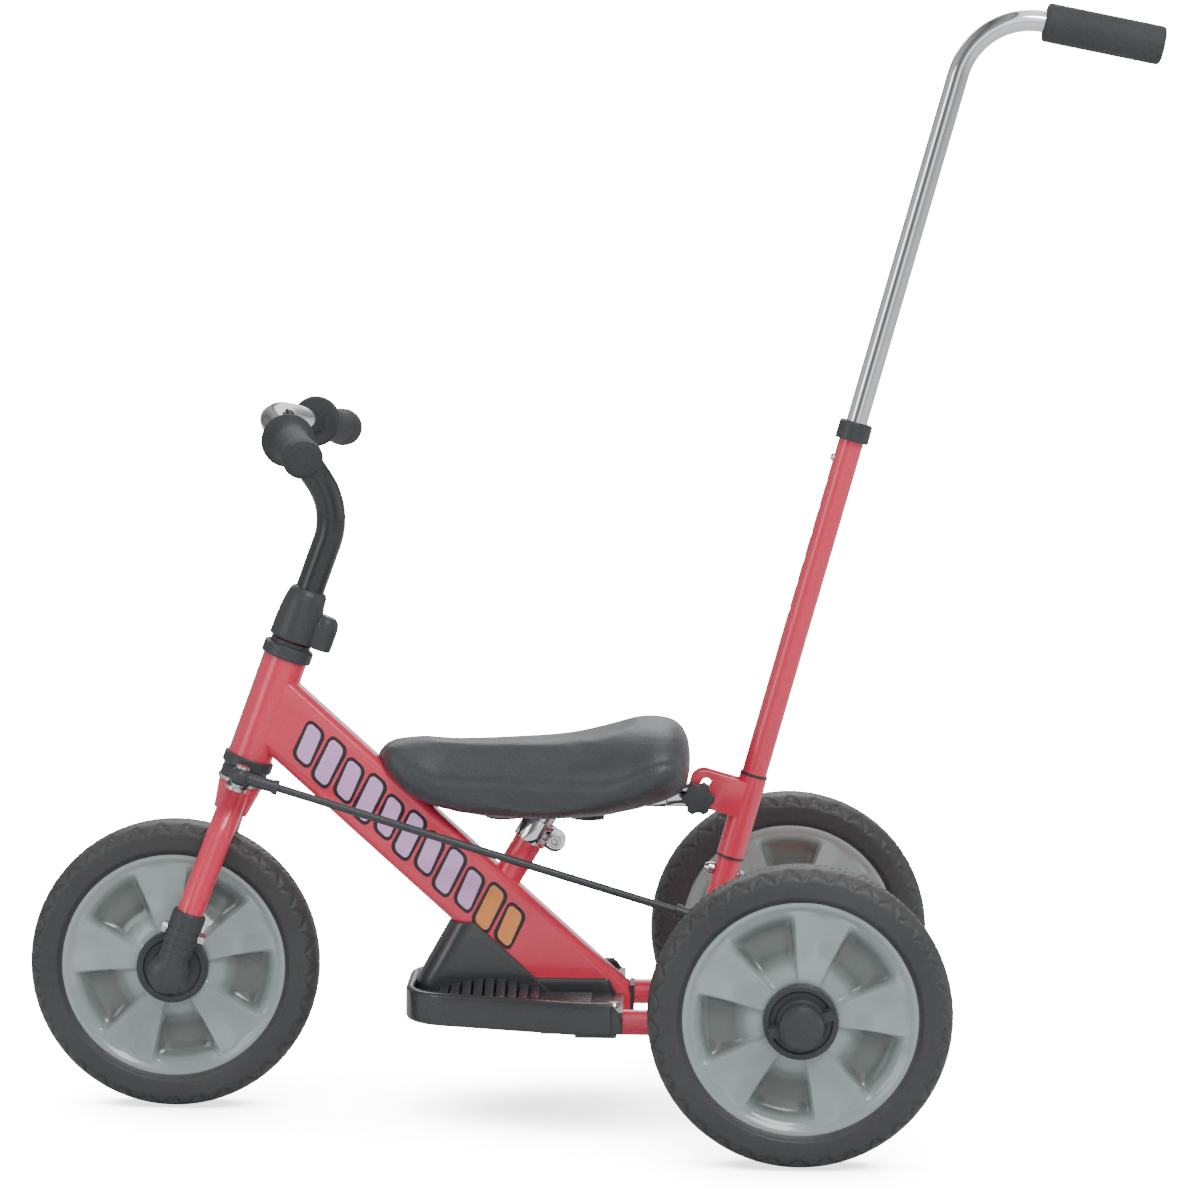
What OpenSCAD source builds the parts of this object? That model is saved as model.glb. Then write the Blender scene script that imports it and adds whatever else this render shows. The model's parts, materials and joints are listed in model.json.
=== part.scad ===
// Children's tricycle with a parent's push rod that steers the front wheel.
// The rear of the tricycle is at +X, the rider's right hand is at +Y and the floor is at z = 0.
// The origin is on the floor, midway between the front tyre and the end of the push grip.

/* [Wheels] */
// Outer diameter of all three tyres
wheel_d = 220; // [200:1:240]
// Width of a tyre
tyre_w = 38; // [32:1:42]
// Distance between the front and rear axles
wheelbase = 471; // [450:1:500]
// Distance between the middle planes of the rear wheels
rear_track = 354; // [330:1:380]

/* [Steering] */
// Lean of the steering axis, top towards the rear
steer_tilt = 19.6; // [17:0.1:22]
// Outer diameter of the head tube
head_tube_d = 34; // [32:1:38]
// Overall width of the handlebar over its grips
handlebar_w = 376; // [340:2:420]
// Height of the middle of the handlebar above the floor
handlebar_z = 527; // [515:1:540]

/* [Frame] */
// Height of the main beam's section, across its slope
beam_h = 54; // [48:1:58]
// Width of the main beam
beam_w = 30; // [26:1:34]
// Slope of the main beam below horizontal
beam_slope = 41.9; // [40:0.1:44]
// Diameter of the rails under the footrest
rail_d = 19; // [18:0.5:20]
// Distance between the middles of the two rails
rail_spacing = 120; // [110:1:130]

/* [Footrest] */
// Width of the footrest over both sides
footrest_w = 184; // [176:2:200]
// Height of the footrest's outer wall
footrest_wall_h = 22; // [18:1:26]

/* [Saddle] */
// Lean of the seat post, top towards the rear
seat_tilt = 30.5; // [28:0.5:33]
// Outer diameter of the seat tube
seat_tube_d = 22; // [20:0.5:24]

/* [Push rod] */
// Lean of the push rod, top towards the rear
push_tilt = 15.4; // [14:0.1:17]
// Outer diameter of the lower push tube
push_tube_d = 19; // [18.6:0.1:21]
// Diameter of the chromed upper pole
pole_d = 16; // [15:0.5:17]
// Radius of the bend at the top of the pole
pole_bend_r = 55; // [45:1:65]
// Length of the push grip
push_grip_l = 90; // [80:1:110]
// Slope of the push grip below horizontal
push_grip_slope = 11; // [5:0.5:15]

/* [Hidden] */

$fn = 48;
e = 0.01;
run = 0.05; // radial clearance of a shaft that turns or slides in its bore

// Colours
red = [0.86, 0.20, 0.27];
black = [0.14, 0.15, 0.16];
rim_grey = [0.60, 0.65, 0.64];
chrome = [0.80, 0.82, 0.84];
rubber = [0.10, 0.10, 0.11];
saddle_grey = [0.25, 0.27, 0.29];

// Push rod: its axis passes over the rails at push_dx ahead of the rear axle
wheel_r = wheel_d / 2;
push_dx = -61.4;
push_z = 152.4;
pole_bend_angle = 90 - push_tilt + push_grip_slope;
pole_top_q = 657.6; // where the pole's bend starts, measured along the rod
push_grip_d = 29;
grip_start_q = pole_top_q + pole_bend_r * sin(pole_bend_angle);
grip_start_p = pole_bend_r * (1 - cos(pole_bend_angle));
push_grip_dx = push_dx + grip_start_q * sin(push_tilt) + grip_start_p * cos(push_tilt)
    + (push_grip_l - 3) * cos(push_grip_slope) + push_grip_d / 2 * sin(push_grip_slope);

// The rear axle's place along X puts the origin midway between front tyre and grip end
rear_x = (wheelbase + wheel_r - push_grip_dx) / 2;
front_x = rear_x - wheelbase;
push_x = rear_x + push_dx;

// Stations along the steering axis, measured from the front axle
crown_top = 147.5;
arm_top = 150;
race_top = 159.2;
lower_cup_top = 168.5;
head_tube_top = 249;
upper_cup_top = 259;
neck_top = 262.7;
cover_top = 305;
steerer_r = 11;
cup_r = 19.3;
arm_reach = 40;
ball_s = 158.2;
rod_end_r = 8;
rod_end_half = 6;
pin_r = 2.95;

// Handlebar: straight middle, one bend each side, swept back and down
bar_r = 9.5;
bar_x = rear_x - 395;
bar_bend_r = 150;
bar_bend = 16;
bar_fall = 27.6; // slope of the plane of the bends
bar_straight = 16;
grip_l = 80;
bar_plane_y = bar_straight + bar_bend_r * sin(bar_bend);
bar_end_l = (handlebar_w / 2 - bar_plane_y) / cos(bar_bend) - 3;

// Stem: a straight foot on the steering axis, then one bend towards the handlebar
stem_bend_s = 342;
stem_bend_r = 52;
stem_r = 11;
bar_a = (bar_x - front_x) * cos(steer_tilt) - (handlebar_z - wheel_r) * sin(steer_tilt);
bar_s = (bar_x - front_x) * sin(steer_tilt) + (handlebar_z - wheel_r) * cos(steer_tilt);
stem_bend = 54;
stem_arm_a = stem_bend_r * (1 - cos(stem_bend));
stem_arm_l = norm([bar_a + stem_arm_a, bar_s - stem_bend_s - stem_bend_r * sin(stem_bend)]);

// Fork legs: crown to splayed shoulder, then straight down past the tyre
leg_r = 10;
leg_y = 49;
leg_bottom = 18;
leg_points = [[0, 8, 140.5], [0, 27.4, 111], [0, leg_y, 52], [0, leg_y, leg_bottom]];
boot_top = 50;
boot_bolt_s = 33;
axle_r = 5;

// Main beam: its centre line passes through beam_mid, its foot is cut level and upright
beam_mid = [rear_x - 392.3, 301.7];
beam_back = rear_x - 124;
beam_bottom = 79.8;
beam_wall = 2;
rail_z = 79.5;
rail_r = rail_d / 2;
rail_y = rail_spacing / 2;
cross_r = rail_r - 0.5;
rail_front = rear_x - 140;
rail_start = rear_x - 190;
rear_cross_x = push_x - (push_z - rail_z) * tan(push_tilt);
axle_tube_r = 11;
axle_tube_half = 153;

// Footrest
plate_front = rear_x - 292;
plate_back = rear_x - 128.7;
plate_half = footrest_w / 2;
plate_corner = 38;
plate_nose = 26;
plate_taper = 15.5;
wall_top = 98.5;
wall_bottom = wall_top - footrest_wall_h;
plate_top = 92.5;
plate_t = 3;
wall_t = 3.5;
web_half = 19;
screw_x = rail_front + 4.2;
screw_r = 2.5;
screw_head_r = 5;
screw_sink = 1.5;

// Seat
seat_x = rear_x - 202.1;
seat_z = 206.8;
seat_post_r = 9.45;
seat_tube_foot = -62;
seat_tube_top = 17.5;
clamp_h = 18.5;
clamp_bolt_a = 16.8;
clamp_bolt_s = 10.3;
bar_bottom = 235;
bar_top = 244;
knob_xs = [rear_x - 222, rear_x - 157.5];
knob_r = 12.5;
stud_r = 3;
star_x = rear_x - 74.2;
star_z = 243;
star_r = 12.4;
bracket_half = 10;
bracket_t = 2;
slot_travel = 12;

// Push rod stations, measured along its axis from the crank
sleeve_low = 46.5;
sleeve_high = 109.5;
bush_flange = 1.7;
rod_gap = 0.3;
shaft_r = 7.5;
sleeve_r = 10.5;
bush_r = 8.5;
tube_r = push_tube_d / 2;
tube_in_r = pole_d / 2 + 0.1;
tube_top = 382;
collar_low = 374;
collar_high = 388.5;
foot_low = -46;
pole_low = 252;
pole_travel = 120;
shaft_top = pole_low - pole_travel - 2;
button_q = 358.4;
button_r = 3;
hole_pitch = 20;
hole_count = 7;
push_bolt_q = 33;
crank_top = -9;

// ---------------------------------------------------------------- helpers

module steer_space() { translate([front_x, 0, wheel_r]) rotate([0, steer_tilt, 0]) children(); }
module push_space() { translate([push_x, 0, push_z]) rotate([0, push_tilt, 0]) children(); }
module seat_space() { translate([seat_x, 0, seat_z]) rotate([0, seat_tilt, 0]) children(); }

// Wheel space: local +Z points out of the tricycle on the given side (-1 left, 1 right)
module wheel_space(x, y, side) {
    translate([x, y, wheel_r]) rotate([90 * -side, 0, 0]) children();
}

// Draws its children once on each side of the tricycle's middle plane
module both_sides() { for (m = [0, 1]) mirror([0, m, 0]) children(); }

function unit(v) = v / norm(v);

// Aims the child's +Z from point a to point b
module aim(a, b) {
    d = b - a;
    translate(a) rotate([0, acos(d[2] / norm(d)), atan2(d[1], d[0])]) children();
}

module rod(a, b, r) { aim(a, b) cylinder(r = r, h = norm(b - a)); }

// Ring with its own height, standing on z
module ring(z, h, r_out, r_in) {
    translate([0, 0, z]) difference() {
        cylinder(r = r_out, h = h);
        translate([0, 0, -1]) cylinder(r = r_in, h = h + 2);
    }
}

// Solid of revolution from [radius, height] points
module turned(points) { rotate_extrude($fn = 72) polygon(points); }

// Overlap of a bend with its straight ends, and how much slimmer the bend is than they are
lap = 0.5;
slim = 0.05;

// The bend of a tube that comes in along u, would turn at corner v and leaves along w
module bend_arc(v, u, w, bend_r, r) {
    angle = acos(u * w);
    n = unit(w - (u * w) * u);
    k = cross(u, n);
    c = v - u * bend_r * tan(angle / 2) + n * bend_r;
    multmatrix([[-n[0], u[0], k[0], c[0]], [-n[1], u[1], k[1], c[1]], [-n[2], u[2], k[2], c[2]]])
        rotate_extrude(angle = angle) translate([bend_r, 0]) circle(r = r - slim);
}

// Tube of radius r along points, with a true arc of bend_r at each inner point
module bent_tube(points, bend_r, r) {
    last = len(points) - 1;
    dirs = [for (i = [0:last - 1]) unit(points[i + 1] - points[i])];
    cut = [for (i = [0:last]) (i == 0 || i == last) ? 0
        : bend_r * tan(acos(dirs[i - 1] * dirs[i]) / 2)];
    laps = [for (i = [0:last]) (i == 0 || i == last) ? 0 : lap];
    for (i = [0:last - 1])
        rod(points[i] + dirs[i] * (cut[i] - laps[i]),
            points[i + 1] - dirs[i] * (cut[i + 1] - laps[i + 1]), r);
    for (i = [1:last - 1]) bend_arc(points[i], dirs[i - 1], dirs[i], bend_r, r);
}

// ---------------------------------------------------------------- frame

module head_tube() {
    color(red) steer_space()
        ring(lower_cup_top, head_tube_top - lower_cup_top, head_tube_d / 2, 14.5);
}

// Headset cup: a flanged ring whose spigot sits in the head tube; the steerer turns in it
module cup_profile(rise) {
    turned([[steerer_r + run, -12], [14.5, -12], [14.5, 0], [cup_r - 0.8, 0], [cup_r, 1],
        [cup_r, rise - 1.4], [cup_r - 1.4, rise], [steerer_r + run, rise]]);
}

module upper_cup() {
    color(black) steer_space() {
        translate([0, 0, head_tube_top]) cup_profile(upper_cup_top - head_tube_top);
        ring(upper_cup_top - 1, neck_top - upper_cup_top + 1 - rod_gap, 15.5, steerer_r + run);
    }
}

module lower_cup() {
    color(black) steer_space() translate([0, 0, lower_cup_top]) mirror([0, 0, 1])
        cup_profile(lower_cup_top - race_top - rod_gap);
}

// Height of the beam's edge at x, for an edge that lies off its centre line by d
function beam_edge(x, d) = beam_mid[1] - (x - beam_mid[0]) * tan(beam_slope) + d / cos(beam_slope);

// The point where that edge meets a line parallel to the steering axis, a behind it
function beam_head(d, a) = let (
        x = front_x + a * cos(steer_tilt),
        z = wheel_r - a * sin(steer_tilt),
        s = (beam_edge(x, d) - z) / (cos(steer_tilt) + tan(beam_slope) * sin(steer_tilt))
    ) [x + s * sin(steer_tilt), z + s * cos(steer_tilt)];

// Side view of the beam, inset from its outline, from head to back
module beam_outline(inset, head, back) {
    d = beam_h / 2 - inset;
    foot = beam_bottom + inset;
    polygon([beam_head(d, head), [back, beam_edge(back, d)], [back, foot],
        [beam_mid[0] + (beam_edge(beam_mid[0], -d) - foot) / tan(beam_slope), foot],
        beam_head(-d, head)]);
}

module beam_solid(inset, half, head = 0, back = beam_back) {
    translate([0, half, 0]) rotate([90, 0, 0]) linear_extrude(2 * half)
        beam_outline(inset, head, back);
}

// The beam's long edges are rolled: a slim, tall core and two wider, lower ones around it
module main_beam() {
    edge = 6;
    color(red) difference() {
        union() {
            beam_solid(0, beam_w / 2 - edge);
            beam_solid(1.8, beam_w / 2 - 1.8);
            beam_solid(edge, beam_w / 2);
        }
        beam_solid(2 * beam_wall, beam_w / 2 - 2 * beam_wall, 8, beam_back + 5);
        steer_space() translate([0, 0, 150]) cylinder(r = head_tube_d / 2, h = 120);
        seat_space() translate([0, 0, seat_tube_foot]) cylinder(r = seat_tube_d / 2, h = 80);
        cross_tube(rail_front, 50);
    }
}

module beam_end_cap() {
    color(black) {
        translate([beam_back, -beam_w / 2, beam_bottom]) cube([3, beam_w, 19]);
        translate([beam_back - 4, -8, beam_bottom + 4.5]) cube([5, 16, 3]);
    }
}

module seat_tube() {
    color(red) seat_space()
        ring(seat_tube_foot, seat_tube_top - seat_tube_foot, seat_tube_d / 2, seat_post_r + run);
}

// Each rail runs back under the footrest and rises to the axle tube
module rail(side) {
    y = side * rail_y;
    color(red) difference() {
        bent_tube([[rail_start, y, rail_z], [rear_x - 40, y, rail_z], [rear_x, y, wheel_r]],
            45, rail_r);
        translate([rear_x, 0, wheel_r]) rotate([90, 0, 0])
            cylinder(r = axle_tube_r, h = 200, center = true);
        translate([screw_x, y, rail_z]) cylinder(r = screw_r, h = 20);
    }
}

module left_rail() { rail(-1); }
module right_rail() { rail(1); }

module cross_tube(x, half) {
    translate([x, 0, rail_z]) rotate([90, 0, 0]) cylinder(r = cross_r, h = 2 * half, center = true);
}

module cross_tubes() {
    color(red) difference() {
        for (x = [rail_front, rear_cross_x]) cross_tube(x, rail_y);
        both_sides() translate([rail_start, rail_y, rail_z]) rotate([0, 90, 0])
            cylinder(r = rail_r, h = 220);
    }
}

module axle_tube() {
    color(red) translate([rear_x, 0, wheel_r]) rotate([90, 0, 0]) difference() {
        cylinder(r = axle_tube_r, h = 2 * axle_tube_half, center = true);
        cylinder(r = axle_r, h = 400, center = true);
    }
}

rear_axle_half = rear_track / 2 + 40;

// Rear axle: one steel rod with a pressed collar beside each wheel
module rear_axle() {
    color(chrome) translate([rear_x, 0, wheel_r]) rotate([90, 0, 0]) {
        cylinder(r = axle_r, h = 2 * rear_axle_half, center = true);
        for (m = [0, 1]) mirror([0, 0, m]) ring(axle_tube_half, 3, 8, axle_r - e);
    }
}

// ---------------------------------------------------------------- footrest

// Plan outline of the footrest, inset from its edge: two rounded front corners, sides that
// spread towards the back, square back
module plate_outline(inset) {
    r = plate_corner - inset;
    x = plate_front + plate_corner;
    spread = (cos(plate_taper) * (plate_half - inset - plate_nose) - r) / sin(plate_taper);
    touch = [x - r * sin(plate_taper), plate_nose + r * cos(plate_taper)];
    for (side = [-1, 1]) {
        translate([x, side * plate_nose]) circle(r = r, $fn = 96);
        scale([1, side]) polygon([[touch[0], 0], touch, [x + spread, plate_half - inset],
            [plate_back, plate_half - inset], [plate_back, 0]]);
    }
    translate([plate_front + inset, -plate_nose]) square([r, 2 * plate_nose]);
}

// Side view of the housing that wraps the foot of the beam
module web_outline() {
    polygon([[rear_x - 287, plate_top - 1], [rear_x - 287, wall_top], [rear_x - 260.5, 145],
        [rear_x - 240, 143.7], [rear_x - 197, 105], [rear_x - 146, 100],
        [plate_back - 4, plate_top + 1], [plate_back - 4, plate_top - 1]]);
}

// Draws its children at the axis of each screw, from the floor up
module at_screws() { both_sides() translate([screw_x, rail_y, 0]) children(); }

module footrest() {
    color(black) difference() {
        union() {
            translate([0, 0, wall_bottom]) linear_extrude(footrest_wall_h) difference() {
                plate_outline(0);
                plate_outline(wall_t);
                translate([plate_back - 8, -200]) square([20, 400]);
            }
            translate([0, 0, plate_top - plate_t]) linear_extrude(plate_t)
                plate_outline(wall_t / 2);
            translate([0, web_half, 0]) rotate([90, 0, 0]) linear_extrude(2 * web_half)
                web_outline();
            at_screws() translate([0, 0, rail_z + rail_r])
                cylinder(r = 7, h = plate_top - plate_t / 2 - rail_z - rail_r);
        }
        at_screws() {
            cylinder(r = screw_r, h = wall_top);
            translate([0, 0, plate_top - screw_sink]) cylinder(r = screw_head_r + 0.3, h = 10);
        }
        beam_solid(-0.1, beam_w / 2 + 0.1, 0, plate_back + 20);
    }
}

// Two pan-head screws, sunk in the footrest's floor, that hold it to the rails
module footrest_screws() {
    color(chrome) at_screws() {
        translate([0, 0, rail_z + 1]) cylinder(r = screw_r - run, h = plate_top - rail_z - 2);
        translate([0, 0, plate_top - screw_sink]) cylinder(r = screw_head_r, h = screw_sink);
        translate([0, 0, plate_top - e]) cylinder(r1 = screw_head_r, r2 = 3.5, h = 2.2);
    }
}

// ---------------------------------------------------------------- seat clamp

// Pinch clamp around the slotted top of the seat tube
module seat_clamp() {
    band_r = seat_tube_d / 2;
    color(chrome) seat_space() difference() {
        union() {
            cylinder(r = band_r + 2, h = clamp_h);
            for (side = [-1, 1]) {
                translate([clamp_bolt_a, side * 4.5 - 1.5, clamp_bolt_s]) rotate([-90, 0, 0])
                    cylinder(r = 8.2, h = 3);
                translate([9, side * 4.5 - 1.5, clamp_bolt_s - 8])
                    cube([clamp_bolt_a - 9, 3, 16]);
            }
        }
        translate([0, 0, -50]) cylinder(r = band_r, h = 100);
        translate([band_r - 2, -3, -20]) cube([6, 6, 60]);
        translate([clamp_bolt_a, 0, clamp_bolt_s]) rotate([90, 0, 0])
            cylinder(r = 2.5, h = 40, center = true);
    }
}

module clamp_bolt() {
    color(chrome) seat_space() translate([clamp_bolt_a, 0, clamp_bolt_s]) rotate([90, 0, 0]) {
        translate([0, 0, -9.5]) cylinder(r = 2.45, h = 17);
        difference() {
            translate([0, 0, 6]) cylinder(r = 4.7, h = 6);
            translate([0, 0, 9]) cylinder(r = 2.6, h = 4, $fn = 6);
        }
        translate([0, 0, -10.5]) cylinder(r = 4.5, h = 4.5, $fn = 6);
    }
}

// ---------------------------------------------------------------- seat bracket and sleeve

module push_sleeve() {
    color(red) push_space() ring(sleeve_low, sleeve_high - sleeve_low, sleeve_r, bush_r);
}

// A flanged bush: its flange is the dark ring between the fixed and turning tubes
module sleeve_bush() {
    ring(-bush_flange, bush_flange, sleeve_r + 0.2, shaft_r + run);
    ring(-0.2, 9.2, bush_r, shaft_r + run);
}

module sleeve_bushes() {
    color(black) push_space() {
        translate([0, 0, sleeve_low]) sleeve_bush();
        translate([0, 0, sleeve_high]) mirror([0, 0, 1]) sleeve_bush();
    }
}

// Two cheeks welded to the sleeve; the slot lets the saddle go up with its post
module seat_bracket() {
    color(red) difference() {
        push_space() {
            for (side = [-1, 1])
                translate([-45, side * (bracket_half - bracket_t / 2) - bracket_t / 2, 77])
                    cube([45, bracket_t, 27.5]);
            translate([-16, -bracket_half, 78]) cube([10, 2 * bracket_half, 25]);
        }
        push_space() translate([0, 0, 50]) cylinder(r = sleeve_r, h = 80);
        for (k = [0:1])
            translate([star_x + k * slot_travel * sin(seat_tilt), 0,
                star_z + k * slot_travel * cos(seat_tilt)])
                rotate([90, 0, 0]) cylinder(r = 4, h = 60, center = true);
        translate([star_x, 0, star_z]) rotate([0, seat_tilt, 0]) translate([-4, -30, 0])
            cube([8, 60, slot_travel]);
        // the far corner above the saddle's end is rounded off
        push_space() difference() {
            translate([-46, -30, 94.5]) cube([10, 60, 12]);
            translate([-35, 0, 94.5]) rotate([90, 0, 0]) cylinder(r = 10, h = 80, center = true);
        }
    }
}

// A stud on the rear cross tube that the foot of the push rod turns on
module foot_pivot() {
    color(black) difference() {
        push_space() {
            translate([0, 0, foot_low - 22]) cylinder(r = 8.5, h = 22 - rod_gap);
            translate([0, 0, foot_low - 2]) cylinder(r = shaft_r - run, h = 8);
        }
        cross_tube(rear_cross_x, rail_y);
    }
}

// ---------------------------------------------------------------- saddle

// Gap between the beam and the soft nose that straddles it
beam_gap = 3;

// One station of the saddle's soft body
module saddle_ball(dx, z, half) {
    translate([rear_x + dx, 0, z]) scale(half) sphere(r = 1, $fn = 28);
}

module saddle() {
    stations = [
        [-297, 262, [22, 34, 21.5]],
        [-250, 256, [26, 44, 24.5]],
        [-179, 256.5, [30, 58, 27.5]],
        [-107, 270, [28, 68, 31]]
    ];
    color(saddle_grey) difference() {
        for (i = [0:2]) hull() {
            saddle_ball(stations[i][0], stations[i][1], stations[i][2]);
            saddle_ball(stations[i + 1][0], stations[i + 1][1], stations[i + 1][2]);
        }
        // pocket for the base plate, then the channel for the seat bar and its bracket
        translate([rear_x - 270, -30.3, 200]) cube([175, 60.6, 49]);
        translate([rear_x - 100, -13, 200]) cube([40, 26, 66]);
        // the nose straddles the beam
        beam_solid(-beam_gap, beam_w / 2 + beam_gap);
    }
}

module saddle_base() {
    color(black) difference() {
        union() {
            translate([rear_x - 268, -29, bar_top]) cube([150, 58, 4.5]);
            both_sides() translate([rear_x - 268, 11, 238]) cube([150, 18, 6.5]);
        }
        for (x = knob_xs) translate([x, 0, 200]) cylinder(r = stud_r + run, h = 60);
    }
}

module seat_bar() {
    color(chrome) difference() {
        union() {
            translate([rear_x - 250, -10, bar_bottom]) cube([152, 20, bar_top - bar_bottom]);
            translate([rear_x - 99, -7.8, bar_bottom]) cube([star_x - rear_x + 99, 15.6, 16]);
            translate([star_x, 0, star_z]) rotate([90, 0, 0])
                cylinder(r = 8, h = 15.6, center = true);
        }
        for (x = knob_xs) translate([x, 0, 200]) cylinder(r = stud_r + run, h = 60);
        translate([star_x, 0, star_z]) rotate([90, 0, 0])
            cylinder(r = stud_r + run, h = 60, center = true);
    }
}

module seat_post() {
    color(chrome) difference() {
        seat_space() translate([0, 0, -42]) cylinder(r = seat_post_r, h = 90);
        translate([rear_x - 260, -30, bar_bottom]) cube([160, 60, 60]);
    }
}

// A hand knob with a fluted rim, a neck and a stud that points up
module hand_knob(x) {
    color(black) {
        translate([x, 0, 0]) {
            difference() {
                translate([0, 0, 224]) cylinder(r = knob_r, h = 6.6);
                for (i = [0:11]) rotate([0, 0, i * 30]) translate([knob_r + 0.8, 0, 220])
                    cylinder(r = 1.8, h = 14);
            }
            translate([0, 0, 230]) cylinder(r = 7.5, h = bar_bottom - 230 - 0.3);
            translate([0, 0, 231]) cylinder(r = stud_r, h = 16);
        }
    }
}

module front_saddle_knob() { hand_knob(knob_xs[0]); }
module rear_saddle_knob() { hand_knob(knob_xs[1]); }

// Six-lobed knob on the left cheek of the bracket; its stud crosses both cheeks and the bar
module star_knob() {
    color(black) translate([star_x, 0, star_z]) rotate([90, 0, 0]) {
        translate([0, 0, bracket_half + 2.5]) difference() {
            cylinder(r = star_r, h = 11);
            for (i = [0:5]) rotate([0, 0, i * 60 + 30]) translate([star_r + 3.2, 0, -1])
                cylinder(r = 5.4, h = 13);
        }
        translate([0, 0, bracket_half + 0.2]) cylinder(r = 6.5, h = 2.4);
        translate([0, 0, -bracket_half - 4]) cylinder(r = stud_r, h = 2 * bracket_half + 8);
        translate([0, 0, -bracket_half - 4.2]) cylinder(r = 6, h = 4, $fn = 6);
    }
}

// ---------------------------------------------------------------- fork and steering

// Crown of the fork, under the steerer; its lower end clears the tyre
module crown_cone() {
    translate([0, 0, 124]) cylinder(r1 = 13, r2 = 17, h = crown_top - 124);
}

module fork_steerer() {
    color(red) steer_space() difference() {
        union() {
            crown_cone();
            translate([0, 0, 130]) cylinder(r = steerer_r, h = 160);
        }
        translate([0, 0, 125]) cylinder(r = 8.5, h = 170);
    }
}

module fork_leg(side) {
    color(red) difference() {
        steer_space() mirror([0, side > 0 ? 0 : 1, 0]) bent_tube(leg_points, 40, leg_r);
        steer_space() {
            crown_cone();
            translate([-50, -50, crown_top - 2]) cube([100, 100, 30]);
            translate([-50, side > 0 ? -100 : 0, 100]) cube([100, 100, 60]);
            boot_bolt_bore();
        }
    }
}

module left_fork_leg() { fork_leg(-1); }
module right_fork_leg() { fork_leg(1); }

module boot_bolt_bore() {
    both_sides() translate([-40, leg_y, boot_bolt_s]) rotate([0, 90, 0]) cylinder(r = 2.5, h = 80);
}

// Moulded fork end: a ribbed socket for the leg above a rounded dome over the axle nut
module fork_boots() {
    color(black) steer_space() both_sides() difference() {
        union() {
            translate([0, leg_y, 0]) turned([[0, 6], [11, 10], [11.5, 22], [12.4, 24],
                [12.4, 40], [12.4, boot_top - 1.5], [11.5, boot_top], [0, boot_top]]);
            translate([0, leg_y - 10, 0]) rotate([-90, 0, 0])
                turned([[0, 0], [14, 0], [15.5, 2], [15.5, 12], [13, 18], [8, 21], [0, 22]]);
        }
        translate([0, leg_y, leg_bottom]) cylinder(r = leg_r, h = 60);
        translate([0, leg_y - 20, 0]) rotate([-90, 0, 0]) cylinder(r = axle_r, h = 24);
        boot_bolt_bore();
    }
}

module boot_bolts() {
    color(chrome) steer_space() both_sides() translate([0, leg_y, boot_bolt_s]) rotate([0, 90, 0]) {
        translate([0, 0, -14]) cylinder(r = 2.5, h = 31);
        translate([0, 0, -16.2]) cylinder(r = 5, h = 3.5);
        translate([0, 0, 12.7]) cylinder(r = 4.8, h = 4.6, $fn = 6);
    }
}

module front_axle() {
    color(chrome) translate([front_x, 0, wheel_r]) rotate([90, 0, 0]) {
        cylinder(r = axle_r, h = 2 * (leg_y + 4), center = true);
        for (m = [0, 1]) mirror([0, 0, m]) ring(27, leg_y - 10 - 27, 8, axle_r - e);
    }
}

// Steel plate on the steerer that carries the link rod's pin
module steering_arm() {
    color(chrome) steer_space() {
        difference() {
            union() {
                translate([0, 0, crown_top]) cylinder(r = 18.3, h = arm_top - crown_top);
                translate([-8, -arm_reach, crown_top])
                    cube([16, arm_reach, arm_top - crown_top]);
                translate([0, -arm_reach, crown_top]) cylinder(r = 8, h = arm_top - crown_top);
            }
            translate([0, 0, 140]) cylinder(r = steerer_r, h = 30);
        }
        translate([0, -arm_reach, 0]) {
            translate([0, 0, arm_top - e]) cylinder(r = 4.5, h = ball_s - rod_end_half - 0.2 - arm_top);
            translate([0, 0, crown_top]) cylinder(r = pin_r, h = 18.5);
            translate([0, 0, ball_s + rod_end_half + 0.2]) cylinder(r = 5, h = 2);
        }
    }
}

module crown_race() {
    color(black) steer_space() ring(arm_top, race_top - arm_top, 17.3, steerer_r);
}

module stem() {
    color(black) difference() {
        steer_space() {
            translate([0, 0, 290]) cylinder(r = stem_r, h = stem_bend_s - 290 + lap);
            translate([0, 0, 220]) cylinder(r = 8.5, h = 75);
            bend_arc([0, 0, stem_bend_s + stem_bend_r * tan(stem_bend / 2)], [0, 0, 1],
                [-sin(stem_bend), 0, cos(stem_bend)], stem_bend_r, stem_r);
            translate([-stem_arm_a, 0, stem_bend_s + stem_bend_r * sin(stem_bend)])
                rotate([0, -stem_bend, 0]) translate([0, 0, -lap])
                    cylinder(r = stem_r, h = stem_arm_l + lap);
        }
        translate([bar_x, 0, handlebar_z]) rotate([90, 0, 0])
            cylinder(r = bar_r, h = 28, center = true);
    }
}

// Bell-shaped cover over the stem clamp, with a lobe at the back for the clamp bolt
module stem_cover() {
    color(black) steer_space() difference() {
        union() {
            turned([[0, neck_top], [17.6, neck_top], [17.4, neck_top + 14], [16.2, neck_top + 26],
                [14.6, neck_top + 35], [12.5, cover_top], [0, cover_top]]);
            translate([20.5, 0, neck_top + 2]) {
                cylinder(r = 10, h = 21);
                translate([0, 0, 21 - e]) cylinder(r1 = 10, r2 = 6.5, h = 7);
            }
            translate([8, -10, neck_top + 2]) cube([12.5, 20, 21]);
        }
        translate([0, 0, neck_top - 1]) cylinder(r = 11, h = 60);
        translate([21, 0, neck_top]) cylinder(r = 5, h = 8);
    }
}

// Half of the handlebar, in its own plane: y runs outwards, -x forwards
function bar_point(l) = [bar_bend_r * (1 - cos(bar_bend)) + l * sin(bar_bend),
    bar_plane_y + l * cos(bar_bend), 0];

module bar_space() { translate([bar_x, 0, handlebar_z]) rotate([0, bar_fall, 0]) children(); }

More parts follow.
